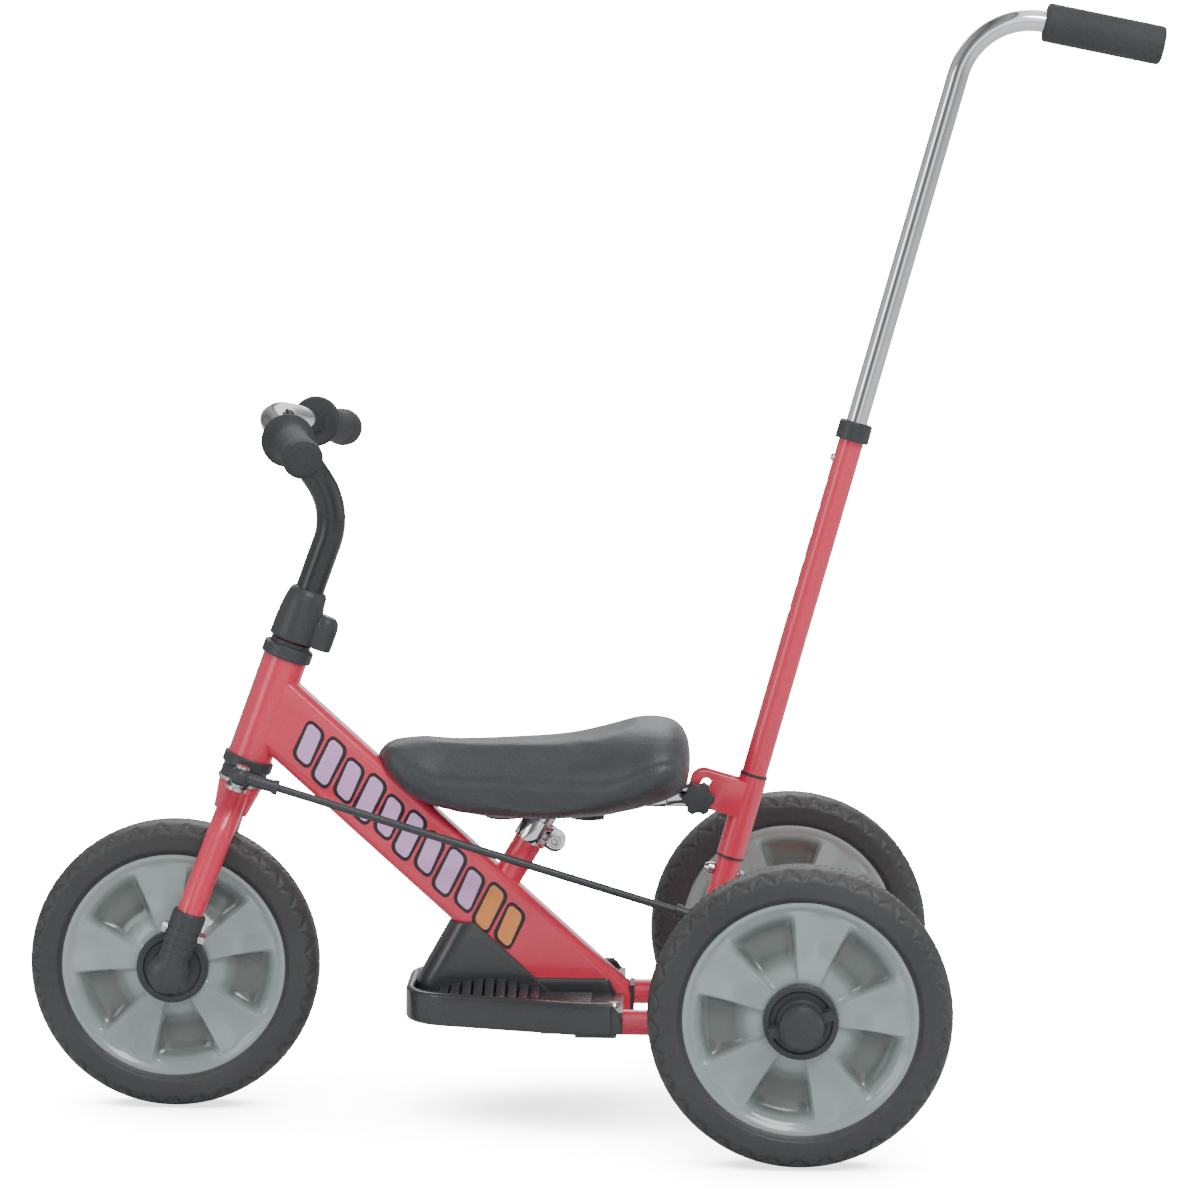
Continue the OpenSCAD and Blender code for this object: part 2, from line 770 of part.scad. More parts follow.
module handlebar() {
    vertex = [0, bar_straight + bar_bend_r * tan(bar_bend / 2), 0];
    out = [sin(bar_bend), cos(bar_bend), 0];
    color(chrome) bar_space() {
        rod([0, -bar_straight - lap, 0], [0, bar_straight + lap, 0], bar_r);
        both_sides() {
            bend_arc(vertex, [0, 1, 0], out, bar_bend_r, bar_r);
            rod(bar_point(-lap), bar_point(bar_end_l), bar_r);
        }
    }
}

// Rubber grip: a wide inner flange, a slim body and a round end
module grip(side) {
    start = bar_end_l - grip_l + 5;
    color(black) bar_space() mirror([0, side > 0 ? 0 : 1, 0])
        aim(bar_point(start), bar_point(bar_end_l)) difference() {
            turned([[0, 0], [17.5, 0], [19.5, 2], [19.5, 5], [17, 8], [14.5, 13], [13.2, 20],
                [13.2, 56], [14.4, 62], [14.8, 70], [13.8, 76], [10.5, grip_l - 1], [0, grip_l]]);
            translate([0, 0, -1]) cylinder(r = bar_r, h = grip_l - 4);
        }
}

module left_grip() { grip(-1); }
module right_grip() { grip(1); }

// ---------------------------------------------------------------- wheels

rim_r = 86.8;
rim_half = 15.6;
bead_r = 84;
cap_r = 27;
cap_z = 26.6;
hub_r = 31;
spokes = 5;
spoke_angle = 31;

// The rim is one moulding: a barrel, a thin web, a hub and five raised spokes on each face
module rim() {
    color(rim_grey) difference() {
        union() {
            turned([[hub_r - 1, -2.5], [78.5, -2.5], [79.5, -rim_half], [rim_r, -rim_half],
                [rim_r, -12.6], [bead_r, -12.6], [bead_r, 12.6], [rim_r, 12.6],
                [rim_r, rim_half], [79.5, rim_half], [78.5, 2.5], [hub_r - 1, 2.5]]);
            translate([0, 0, -19]) cylinder(r = hub_r, h = 38);
            intersection() {
                for (i = [0:spokes - 1]) rotate([0, 0, i * 360 / spokes + 90 - spoke_angle / 2])
                    rotate_extrude(angle = spoke_angle)
                        polygon([[20, -18], [80, -14.5], [80, 14.5], [20, 18]]);
                translate([0, 0, -30]) cylinder(r = 80, h = 60);
            }
        }
        translate([0, 0, -40]) cylinder(r = axle_r + run, h = 80);
    }
}

module tyre() {
    h = tyre_w / 2;
    color(rubber) turned([[bead_r, -12.6], [rim_r, -12.6], [rim_r, -h + 1.5], [88, -h + 0.5],
        [100, -h], [104, -h + 1], [107.5, -h + 4], [109.4, -h + 8], [wheel_r, -6], [wheel_r, 6],
        [109.4, h - 8], [107.5, h - 4], [104, h - 1], [100, h], [88, h - 0.5],
        [rim_r, h - 1.5], [rim_r, 12.6], [bead_r, 12.6]]);
}

module front_rim() { wheel_space(front_x, 0, -1) rim(); }
module front_tyre() { wheel_space(front_x, 0, -1) tyre(); }
module rear_left_rim() { wheel_space(rear_x, -rear_track / 2, -1) rim(); }
module rear_left_tyre() { wheel_space(rear_x, -rear_track / 2, -1) tyre(); }
module rear_right_rim() { wheel_space(rear_x, rear_track / 2, 1) rim(); }
module rear_right_tyre() { wheel_space(rear_x, rear_track / 2, 1) tyre(); }

// Flat bearing cap pressed on each side of the front hub
module front_hub_caps() {
    color(black) wheel_space(front_x, 0, -1) for (m = [0, 1]) mirror([0, 0, m])
        turned([[axle_r + run, 19], [cap_r, 19], [cap_r, 24.5], [cap_r - 1.5, cap_z - 0.5],
            [22, cap_z - 0.5], [21, 24], [axle_r + run, 24]]);
}

// Hub cap over the axle's end: a stepped disc and a boss with two ears
module rear_cap() {
    color(black) difference() {
        union() {
            turned([[0, 19], [cap_r, 19], [cap_r, cap_z - 1.2], [cap_r - 1.2, cap_z],
                [cap_r - 4, cap_z], [cap_r - 5, cap_z - 2], [18.5, cap_z - 2], [17.5, cap_z + 4],
                [16, cap_z + 6], [15.6, 47], [12.8, 50.5], [0, 52]]);
            for (a = [195, 20]) rotate([0, 0, a]) translate([14, -3.5, cap_z - 2])
                cube([9.5, 7, 14]);
        }
        translate([0, 0, 10]) cylinder(r = axle_r + run, h = rear_axle_half - rear_track / 2 - 9);
    }
}

module rear_left_cap() { wheel_space(rear_x, -rear_track / 2, -1) rear_cap(); }
module rear_right_cap() { wheel_space(rear_x, rear_track / 2, 1) rear_cap(); }

// ---------------------------------------------------------------- link rod

function steer_point(a, y, s) = [front_x + a * cos(steer_tilt) + s * sin(steer_tilt), y,
    wheel_r - a * sin(steer_tilt) + s * cos(steer_tilt)];
link_front = steer_point(0, -arm_reach, ball_s);
link_back = [push_x, -arm_reach, push_z];
link_r = 3;
link_pocket = 14;

module link_rod() {
    d = unit(link_back - link_front);
    color(black) rod(link_front + d * link_pocket, link_back - d * link_pocket, link_r);
}

// A moulded rod end: a round eye and a tapered neck that holds the rod
module rod_end(centre, other, bore_r) {
    d = unit(other - centre);
    difference() {
        union() {
            intersection() {
                translate(centre) sphere(r = rod_end_r);
                translate(centre) rotate([0, steer_tilt, 0])
                    cylinder(r = 20, h = 2 * rod_end_half, center = true);
            }
            rod(centre + d * 4, centre + d * 28, 4.8);
            aim(centre + d * 26, other) cylinder(r = 5.6, h = 4);
        }
        rod(centre + d * link_pocket, centre + d * 60, link_r);
        translate(centre) rotate([0, steer_tilt, 0])
            cylinder(r = bore_r, h = 60, center = true);
    }
}

module rod_ends() {
    color(black) {
        rod_end(link_front, link_back, pin_r + run);
        rod_end(link_back, link_front, pin_r + 0.85);
    }
}

// ---------------------------------------------------------------- push rod

module push_tube() {
    low = sleeve_high + bush_flange + rod_gap;
    color(red) push_space() difference() {
        ring(low, tube_top - low, tube_r, tube_in_r);
        for (i = [0:hole_count - 1]) translate([0, 0, button_q - i * hole_pitch])
            rotate([0, -90, 0]) cylinder(r = button_r + 0.3, h = 20);
    }
}

// Steel shaft through the sleeve that joins the push tube to its foot
module push_shaft() {
    low = foot_low + 8;
    color(chrome) push_space() difference() {
        union() {
            translate([0, 0, low]) cylinder(r = shaft_r, h = shaft_top - low);
            translate([0, 0, sleeve_high + 4]) cylinder(r = tube_in_r, h = shaft_top - sleeve_high - 4);
        }
        translate([0, 0, push_bolt_q]) rotate([0, 90, 0]) cylinder(r = 2.5, h = 40, center = true);
    }
}

module push_foot() {
    high = sleeve_low - bush_flange - rod_gap;
    color(red) push_space() difference() {
        ring(foot_low, high - foot_low, tube_r, shaft_r);
        translate([0, 0, push_bolt_q]) rotate([0, 90, 0]) cylinder(r = 2.5, h = 40, center = true);
    }
}

// Bolt that pins the foot to its shaft, with a nut at the back
module push_bolt() {
    color(chrome) push_space() translate([0, 0, push_bolt_q]) rotate([0, 90, 0]) {
        translate([0, 0, -12]) cylinder(r = 2.45, h = 26);
        translate([0, 0, -tube_r - 4.1]) cylinder(r = 4.8, h = 4);
        translate([0, 0, -tube_r - 7]) cylinder(r1 = 2.6, r2 = 4.4, h = 3);
        translate([0, 0, tube_r + 0.1]) cylinder(r = 4.4, h = 3.6, $fn = 6);
    }
}

// Crank on the foot of the push rod; its pin carries the rear end of the link rod
module crank_arm() {
    h = 6;
    color(black) push_space() {
        difference() {
            union() {
                translate([0, 0, crank_top - h - 4]) cylinder(r = 14, h = h + 8);
                translate([-7, -arm_reach, crank_top - h]) cube([14, arm_reach, h]);
                translate([0, -arm_reach, crank_top - h]) cylinder(r = 8, h = h);
            }
            translate([0, 0, -60]) cylinder(r = tube_r, h = 90);
        }
        translate([0, -arm_reach, 0]) {
            translate([0, 0, crank_top - h]) cylinder(r = pin_r, h = 12 - crank_top + h);
            translate([0, 0, 9]) cylinder(r = 5.5, h = 2.5);
        }
    }
}

module push_collar() {
    color(black) push_space() difference() {
        translate([0, 0, collar_low]) turned([[0, 0], [12.4, 0], [12.8, 1], [12.6, 13.3],
            [11.5, collar_high - collar_low], [0, collar_high - collar_low]]);
        translate([0, 0, collar_low - 1]) cylinder(r = tube_r, h = tube_top - collar_low + 1);
        translate([0, 0, collar_low - 1]) cylinder(r = tube_in_r, h = 60);
    }
}

// Chromed pole: slides in the push tube, bends over at the top and carries the grip
module push_pole() {
    r = pole_d / 2;
    color(chrome) push_space() difference() {
        union() {
            translate([0, 0, pole_low]) cylinder(r = r, h = pole_top_q - pole_low + lap);
            bend_arc([0, 0, pole_top_q + pole_bend_r * tan(pole_bend_angle / 2)], [0, 0, 1],
                [sin(pole_bend_angle), 0, cos(pole_bend_angle)], pole_bend_r, r);
            translate([grip_start_p, 0, grip_start_q]) rotate([0, pole_bend_angle, 0])
                translate([0, 0, -lap]) cylinder(r = r, h = push_grip_l - 6 + lap);
        }
        translate([0, 0, pole_low - 1]) cylinder(r = r - 1.5, h = pole_top_q - pole_low - 10);
        translate([0, 0, button_q]) rotate([0, -90, 0]) cylinder(r = button_r + run, h = 20);
    }
}

module push_grip() {
    r = push_grip_d / 2;
    color(black) push_space() translate([grip_start_p, 0, grip_start_q])
        rotate([0, pole_bend_angle, 0]) difference() {
            turned([[0, 0], [r - 2.5, 0], [r - 0.7, 0.7], [r, 2.5], [r, push_grip_l - 3],
                [r - 0.9, push_grip_l - 0.9], [r - 3, push_grip_l], [0, push_grip_l]]);
            translate([0, 0, -1]) cylinder(r = pole_d / 2, h = push_grip_l - 5);
        }
}

// Sprung button that locks the pole in one of the push tube's holes
module snap_button() {
    color(chrome) push_space() translate([0, 0, button_q]) rotate([0, -90, 0]) {
        translate([0, 0, 1.2]) cylinder(r = button_r, h = 8.8);
        translate([0, 0, 10 - e]) cylinder(r1 = button_r, r2 = 1.8, h = 1.8);
    }
}

head_tube();
upper_cup();
lower_cup();
main_beam();
beam_end_cap();
seat_tube();
left_rail();
right_rail();
cross_tubes();
axle_tube();
rear_axle();
footrest();
footrest_screws();
seat_clamp();
clamp_bolt();
push_sleeve();
sleeve_bushes();
seat_bracket();
foot_pivot();
saddle();
saddle_base();
seat_bar();
seat_post();
front_saddle_knob();
rear_saddle_knob();
star_knob();
fork_steerer();
left_fork_leg();
right_fork_leg();
fork_boots();
boot_bolts();
front_axle();
steering_arm();
crown_race();
stem();
stem_cover();
handlebar();
left_grip();
right_grip();
front_rim();
front_tyre();
front_hub_caps();
rear_left_rim();
rear_left_tyre();
rear_left_cap();
rear_right_rim();
rear_right_tyre();
rear_right_cap();
link_rod();
rod_ends();
push_tube();
push_shaft();
push_foot();
crank_arm();
push_bolt();
push_collar();
push_pole();
push_grip();
snap_button();
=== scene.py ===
# %% [markdown]
# # A child's tricycle with a steering push rod
# The imported model is loaded as a fixed frame: every tube, wheel and bolt is already at its place.
# This lesson adds what makes it look real. The moulded wheels, the padded saddle, the rounded beam
# and the tread are modelled, and every surface gets a finish built from shader nodes.

# %% load the frame
import json
import math

import bpy
from mathutils import Matrix, Vector, noise


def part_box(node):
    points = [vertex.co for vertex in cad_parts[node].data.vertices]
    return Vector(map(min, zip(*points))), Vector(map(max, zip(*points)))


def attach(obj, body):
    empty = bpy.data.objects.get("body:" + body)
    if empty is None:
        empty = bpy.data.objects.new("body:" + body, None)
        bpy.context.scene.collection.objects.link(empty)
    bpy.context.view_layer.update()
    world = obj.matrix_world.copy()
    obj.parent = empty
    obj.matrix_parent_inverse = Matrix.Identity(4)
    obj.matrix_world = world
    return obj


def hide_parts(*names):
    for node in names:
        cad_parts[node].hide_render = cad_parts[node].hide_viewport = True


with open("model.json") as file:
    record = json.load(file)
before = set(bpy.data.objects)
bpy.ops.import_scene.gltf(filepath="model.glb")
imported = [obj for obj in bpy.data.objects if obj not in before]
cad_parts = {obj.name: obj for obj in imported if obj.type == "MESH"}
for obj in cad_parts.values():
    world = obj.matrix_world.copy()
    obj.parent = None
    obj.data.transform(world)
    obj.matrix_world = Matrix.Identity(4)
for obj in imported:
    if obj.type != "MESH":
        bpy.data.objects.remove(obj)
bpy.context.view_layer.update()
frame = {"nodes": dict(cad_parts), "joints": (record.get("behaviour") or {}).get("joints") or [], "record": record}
joints = {joint["name"]: joint for joint in frame["joints"]}

# %% [markdown]
# Places come from the frame, so they follow it when it changes. The hubs are the centres of the
# tyres' boxes, and the steering axis is a hinge of the joint tree.

# %% places that the pieces are built from
MM = 0.001


def middle(node):
    low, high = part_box(node)
    return (Vector(low) + Vector(high)) / 2


hubs = {side: middle(side + "_tyre") for side in ("front", "rear_left", "rear_right")}
rear_x = hubs["rear_left"].x
front_hub = Vector((hubs["front"].x, 0, hubs["front"].z))
wheel_r = (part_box("front_tyre")[1][2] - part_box("front_tyre")[0][2]) / 2
steer_axis = Vector(joints["steer"]["axis"])
print("wheel radius", round(wheel_r, 4), "rear axle at x", round(rear_x, 4))


def frame_along(origin, axis):
    """Matrix of a place whose z runs along axis, with x level and pointing to the rear."""
    z = axis.normalized()
    y = Vector((0, 1, 0))
    x = y.cross(z).normalized()
    turn = Matrix((x, y, z)).transposed()
    return Matrix.Translation(origin) @ turn.to_4x4()


steer_place = frame_along(front_hub, steer_axis)

# %% [markdown]
# Blender's operators act on whatever is selected, so a few helpers keep that tidy: one clears the
# selection, one applies every modifier, and one puts a finished piece's place into its mesh.

# %% helpers for modelling with operators
def clear():
    if bpy.context.object and bpy.context.object.mode != "OBJECT":
        bpy.ops.object.mode_set(mode="OBJECT")
    bpy.ops.object.select_all(action="DESELECT")


def only(piece):
    clear()
    piece.select_set(True)
    bpy.context.view_layer.objects.active = piece


def apply_modifiers(piece):
    only(piece)
    for modifier in list(piece.modifiers):
        bpy.ops.object.modifier_apply(modifier=modifier.name)


def settle(piece, place=Matrix.Identity(4)):
    """Moves the piece to its place in the frame and writes that place into its mesh."""
    only(piece)
    piece.matrix_world = place @ piece.matrix_world
    bpy.ops.object.transform_apply(location=True, rotation=True, scale=True)


def outward(piece):
    """Merges doubled corners and turns all faces outwards."""
    only(piece)
    bpy.ops.object.mode_set(mode="EDIT")
    bpy.ops.mesh.select_all(action="SELECT")
    bpy.ops.mesh.remove_doubles(threshold=0.00001)
    bpy.ops.mesh.normals_make_consistent(inside=False)
    bpy.ops.object.mode_set(mode="OBJECT")


def smooth(piece, degrees=35):
    only(piece)
    bpy.ops.object.shade_smooth_by_angle(angle=math.radians(degrees))


def bevel(piece, width, segments=2, degrees=30):
    modifier = piece.modifiers.new("edges", "BEVEL")
    modifier.width = width
    modifier.segments = segments
    modifier.limit_method = "ANGLE"
    modifier.angle_limit = math.radians(degrees)


def lathe(name, profile, steps=96):
    """Spins (radius, height) points in millimetres round z, starting from one extruded edge."""
    clear()
    bpy.ops.mesh.primitive_plane_add(size=0.01, location=(0, 0, 0))
    piece = bpy.context.object
    piece.name = name
    bpy.ops.object.mode_set(mode="EDIT")
    bpy.ops.mesh.select_all(action="SELECT")
    bpy.ops.mesh.merge(type="CENTER")
    here = Vector((profile[0][0], 0, profile[0][1])) * MM
    bpy.ops.transform.translate(value=here)
    for radius, height in profile[1:]:
        there = Vector((radius, 0, height)) * MM
        bpy.ops.mesh.extrude_region_move(TRANSFORM_OT_translate={"value": there - here})
        here = there
    bpy.ops.mesh.select_all(action="SELECT")
    bpy.ops.mesh.spin(steps=steps, angle=math.tau, center=(0, 0, 0), axis=(0, 0, 1))
    bpy.ops.object.mode_set(mode="OBJECT")
    outward(piece)
    return piece


def block(low, high):
    """A box between two corners."""
    clear()
    bpy.ops.mesh.primitive_cube_add(size=1)
    piece = bpy.context.object
    piece.scale = Vector(high) - Vector(low)
    piece.location = (Vector(high) + Vector(low)) / 2
    bpy.ops.object.transform_apply(location=True, rotation=True, scale=True)
    return piece


def join(name, pieces):
    clear()
    for piece in pieces:
        piece.select_set(True)
    bpy.context.view_layer.objects.active = pieces[0]
    bpy.ops.object.join()
    pieces[0].name = name
    return pieces[0]


# %% [markdown]
# ## Finishes
# Real surfaces are never one flat value. Three small node groups give every finish its variation:
# a fine grain for bump and roughness, soft blotches for colour, and dust that settles on faces
# that look up. Each material places them with its own values.

# %% shared node groups
def new_group(name, inputs, outputs):
    group = bpy.data.node_groups.new(name, "ShaderNodeTree")
    for label, value in inputs:
        socket = group.interface.new_socket(label, in_out="INPUT", socket_type="NodeSocketFloat")
        socket.default_value = value
    for label in outputs:
        group.interface.new_socket(label, in_out="OUTPUT", socket_type="NodeSocketFloat")
    enter = group.nodes.new("NodeGroupInput")
    leave = group.nodes.new("NodeGroupOutput")
    return group, enter, leave


def add_node(tree, kind, **settings):
    node = tree.nodes.new(kind)
    for key, value in settings.items():
        setattr(node, key, value)
    return node


def grain_group():
    """Noise of two sizes: Height for a bump and Roughness around a middle value."""
    group, enter, leave = new_group(
        "fine grain",
        [("Scale", 300.0), ("Roughness", 0.4), ("Spread", 0.1)],
        ["Height", "Roughness"],
    )
    place = add_node(group, "ShaderNodeTexCoord")
    fine = add_node(group, "ShaderNodeTexNoise")
    fine.inputs["Detail"].default_value = 5
    broad = add_node(group, "ShaderNodeTexNoise")
    broad.inputs["Scale"].default_value = 22
    broad.inputs["Detail"].default_value = 3
    offset = add_node(group, "ShaderNodeMath", operation="SUBTRACT")
    offset.inputs[1].default_value = 0.5
    spread = add_node(group, "ShaderNodeMath", operation="MULTIPLY_ADD")
    spread.use_clamp = True
    link = group.links.new
    link(place.outputs["Object"], fine.inputs["Vector"])
    link(place.outputs["Object"], broad.inputs["Vector"])
    link(enter.outputs["Scale"], fine.inputs["Scale"])
    link(broad.outputs["Fac"], offset.inputs[0])
    link(offset.outputs[0], spread.inputs[0])
    link(enter.outputs["Spread"], spread.inputs[1])
    link(enter.outputs["Roughness"], spread.inputs[2])
    link(fine.outputs["Fac"], leave.inputs["Height"])
    link(spread.outputs[0], leave.inputs["Roughness"])
    return group


def blotch_group():
    """A slow mask from 0 to 1 for gentle colour changes over a surface."""
    group, enter, leave = new_group("soft blotches", [("Scale", 9.0)], ["Mask"])
    place = add_node(group, "ShaderNodeTexCoord")
    cloud = add_node(group, "ShaderNodeTexNoise")
    cloud.inputs["Detail"].default_value = 4
    ramp = add_node(group, "ShaderNodeMapRange")
    ramp.inputs["From Min"].default_value = 0.35
    ramp.inputs["From Max"].default_value = 0.65
    link = group.links.new
    link(place.outputs["Object"], cloud.inputs["Vector"])
    link(enter.outputs["Scale"], cloud.inputs["Scale"])
    link(cloud.outputs["Fac"], ramp.inputs["Value"])
    link(ramp.outputs["Result"], leave.inputs["Mask"])
    return group


def dust_group():
    """A mask of dust: strongest on faces that look up, broken by noise."""
    group, enter, leave = new_group("settled dust", [("Amount", 0.1)], ["Mask"])
    place = add_node(group, "ShaderNodeTexCoord")
    shape = add_node(group, "ShaderNodeNewGeometry")
    axes = add_node(group, "ShaderNodeSeparateXYZ")
    specks = add_node(group, "ShaderNodeTexNoise")
    specks.inputs["Scale"].default_value = 60
    specks.inputs["Detail"].default_value = 6
    up = add_node(group, "ShaderNodeMapRange")
    broken = add_node(group, "ShaderNodeMath", operation="MULTIPLY")
    amount = add_node(group, "ShaderNodeMath", operation="MULTIPLY")
    link = group.links.new
    link(place.outputs["Object"], specks.inputs["Vector"])
    link(shape.outputs["Normal"], axes.inputs[0])
    link(axes.outputs["Z"], up.inputs["Value"])
    link(up.outputs["Result"], broken.inputs[0])
    link(specks.outputs["Fac"], broken.inputs[1])
    link(broken.outputs[0], amount.inputs[0])
    link(enter.outputs["Amount"], amount.inputs[1])
    link(amount.outputs[0], leave.inputs["Mask"])
    return group


GRAIN = grain_group()
BLOTCH = blotch_group()
DUST = dust_group()
print("node groups:", [group.name for group in (GRAIN, BLOTCH, DUST)])

# %% one base for every finish
DUST_COLOUR = (0.42, 0.41, 0.40, 1)


def finish(name, colour, second, roughness, spread=0.08, scale=300, bump=0.05, dust=0.04, metallic=0.0):
    """Principled material whose colour, roughness and bump all vary over the surface."""
    material = bpy.data.materials.new(name)
    material.use_nodes = True
    tree = material.node_tree
    shader = tree.nodes["Principled BSDF"]
    shader.inputs["Metallic"].default_value = metallic
    grain = add_node(tree, "ShaderNodeGroup", node_tree=GRAIN)
    grain.inputs["Scale"].default_value = scale
    grain.inputs["Roughness"].default_value = roughness
    grain.inputs["Spread"].default_value = spread
    blotch = add_node(tree, "ShaderNodeGroup", node_tree=BLOTCH)
    settled = add_node(tree, "ShaderNodeGroup", node_tree=DUST)
    settled.inputs["Amount"].default_value = dust
    tint = add_node(tree, "ShaderNodeMix", data_type="RGBA")
    tint.inputs["A"].default_value = (*colour, 1)
    tint.inputs["B"].default_value = (*second, 1)
    dusted = add_node(tree, "ShaderNodeMix", data_type="RGBA")
    dusted.inputs["B"].default_value = DUST_COLOUR
    relief = add_node(tree, "ShaderNodeBump")
    relief.inputs["Strength"].default_value = bump
    relief.inputs["Distance"].default_value = 0.0005
    link = tree.links.new
    link(blotch.outputs["Mask"], tint.inputs["Factor"])
    link(tint.outputs["Result"], dusted.inputs["A"])
    link(settled.outputs["Mask"], dusted.inputs["Factor"])
    link(dusted.outputs["Result"], shader.inputs["Base Color"])
    link(grain.outputs["Roughness"], shader.inputs["Roughness"])
    link(grain.outputs["Height"], relief.inputs["Height"])
    link(relief.outputs["Normal"], shader.inputs["Normal"])
    return material


# %% [markdown]
# The frame is powder-coated steel under a clear gloss: a coat layer with a trace of orange peel.
# The black parts are moulded plastic, the chrome is polished steel whose roughness drifts a little,
# and the grips are closed foam.

# %% the finishes
def gloss_paint():
    rose, deep = (0.88, 0.045, 0.100), (0.83, 0.038, 0.088)
    material = finish("rose red paint", rose, deep, 0.30, 0.06, 420, 0.04, 0.02)
    shader = material.node_tree.nodes["Principled BSDF"]
    shader.inputs["Coat Weight"].default_value = 0.6
    shader.inputs["Coat Roughness"].default_value = 0.05
    return material


def chromed_steel():
    return finish("chrome", (0.86, 0.87, 0.88), (0.80, 0.81, 0.83), 0.05, 0.04, 900, 0.01, 0.01, 1.0)


def plated_steel():
    bright, dull = (0.74, 0.75, 0.77), (0.60, 0.61, 0.63)
    return finish("plated steel", bright, dull, 0.22, 0.14, 700, 0.06, 0.02, 1.0)


def moulded_black():
    dark, worn = (0.041, 0.047, 0.051), (0.051, 0.057, 0.061)
    return finish("moulded black plastic", dark, worn, 0.42, 0.12, 900, 0.22, 0.06)


def polished_black():
    dark, worn = (0.038, 0.041, 0.043), (0.047, 0.050, 0.053)
    material = finish("polished black plastic", dark, worn, 0.28, 0.1, 500, 0.06, 0.04)
    material.node_tree.nodes["Principled BSDF"].inputs["Coat Weight"].default_value = 0.25
    return material


def enamel_black():
    dark, worn = (0.026, 0.028, 0.029), (0.032, 0.035, 0.036)
    return finish("black enamel", dark, worn, 0.26, 0.08, 400, 0.05, 0.04)


def rim_plastic():
    """Grey green plastic with painted shade: the floors of the pockets are made darker and warmer, most where the
    face lies lowest.
    """
    fresh, worn = (0.36, 0.43, 0.415), (0.33, 0.40, 0.385)
    material = finish("grey green rim plastic", fresh, worn, 0.2, 0.1, 350, 0.03, 0.03)
    tree = material.node_tree
    shader = tree.nodes["Principled BSDF"]
    shader.inputs["Coat Weight"].default_value = 0.5
    shader.inputs["Coat Roughness"].default_value = 0.08
    colour = shader.inputs["Base Color"].links[0].from_socket
    # painted shade: the pocket mask mixes in a dark warm grey on the low floors of the pockets, where shade falls
    # in the recess
    pocket = add_node(tree, "ShaderNodeAttribute", attribute_name="pocket")
    pocket_shade = add_node(tree, "ShaderNodeMix", data_type="RGBA")
    pocket_shade.inputs["B"].default_value = (0.135, 0.155, 0.145, 1)
    tree.links.new(pocket.outputs["Fac"], pocket_shade.inputs["Factor"])
    tree.links.new(colour, pocket_shade.inputs["A"])
    tree.links.new(pocket_shade.outputs["Result"], shader.inputs["Base Color"])
    return material


def tyre_foam():
    dark, worn = (0.043, 0.045, 0.046), (0.058, 0.060, 0.061)
    return finish("tyre foam", dark, worn, 0.5, 0.2, 700, 0.25, 0.16)


def cell_foam():
    """Closed foam: small round cells between thin walls."""
    dark, worn = (0.037, 0.039, 0.042), (0.050, 0.052, 0.056)
    material = finish("grip foam", dark, worn, 0.72, 0.16, 900, 0.2, 0.08)
    tree = material.node_tree
    place = add_node(tree, "ShaderNodeTexCoord")
    cells = add_node(tree, "ShaderNodeTexVoronoi", feature="DISTANCE_TO_EDGE")
    cells.inputs["Scale"].default_value = 1100
    relief = next(node for node in tree.nodes if node.bl_idname == "ShaderNodeBump")
    add = add_node(tree, "ShaderNodeMath", operation="ADD")
    height = relief.inputs["Height"].links[0].from_socket
    tree.links.new(place.outputs["Object"], cells.inputs["Vector"])
    tree.links.new(height, add.inputs[0])
    tree.links.new(cells.outputs["Distance"], add.inputs[1])
    tree.links.new(add.outputs[0], relief.inputs["Height"])
    relief.inputs["Strength"].default_value = 0.5
    return material


def saddle_skin():
    """Soft vinyl: a pebbled leather grain from crackled cells, with a low sheen."""
    slate, pale = (0.048, 0.054, 0.059), (0.058, 0.064, 0.069)
    material = finish("saddle vinyl", slate, pale, 0.44, 0.12, 500, 0.2, 0.08)
    tree = material.node_tree
    place = add_node(tree, "ShaderNodeTexCoord")
    pebbles = add_node(tree, "ShaderNodeTexVoronoi", feature="SMOOTH_F1")
    pebbles.inputs["Scale"].default_value = 620
    pebbles.inputs["Smoothness"].default_value = 0.6
    relief = next(node for node in tree.nodes if node.bl_idname == "ShaderNodeBump")
    blend = add_node(tree, "ShaderNodeMath", operation="MULTIPLY_ADD")
    blend.inputs[1].default_value = 0.35
    height = relief.inputs["Height"].links[0].from_socket
    tree.links.new(place.outputs["Object"], pebbles.inputs["Vector"])
    tree.links.new(height, blend.inputs[0])
    tree.links.new(pebbles.outputs["Distance"], blend.inputs[2])
    tree.links.new(blend.outputs[0], relief.inputs["Height"])
    relief.inputs["Strength"].default_value = 0.35
    tree.nodes["Principled BSDF"].inputs["Sheen Weight"].default_value = 0.08
    return material


MATERIALS = {
    "red_paint": gloss_paint(),
    "black_paint": enamel_black(),
    "black_plastic": moulded_black(),
    "gloss_black": polished_black(),
    "rim_grey": rim_plastic(),
    "tyre": tyre_foam(),
    "grip_rubber": cell_foam(),
    "saddle_cover": saddle_skin(),
    "chrome": chromed_steel(),
    "steel": plated_steel(),
}


def dress(piece, slot, body):
    """Gives a new piece its finish and lets it ride on its body."""
    piece.data.materials.clear()
    piece.data.materials.append(MATERIALS[slot])
    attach(piece, body)


for part in frame["record"]["subparts"]:
    node = frame["nodes"][part["node"]]
    for index in range(len(node.material_slots)):
        node.material_slots[index].material = MATERIALS[part["material_slot"]]
print("finishes:", sorted(MATERIALS))

# %% [markdown]
# A CAD node comes as loose triangles with knife-sharp edges. A Weld modifier joins the triangles
# and a small Bevel catches the light along each edge, without touching the node's own mesh.

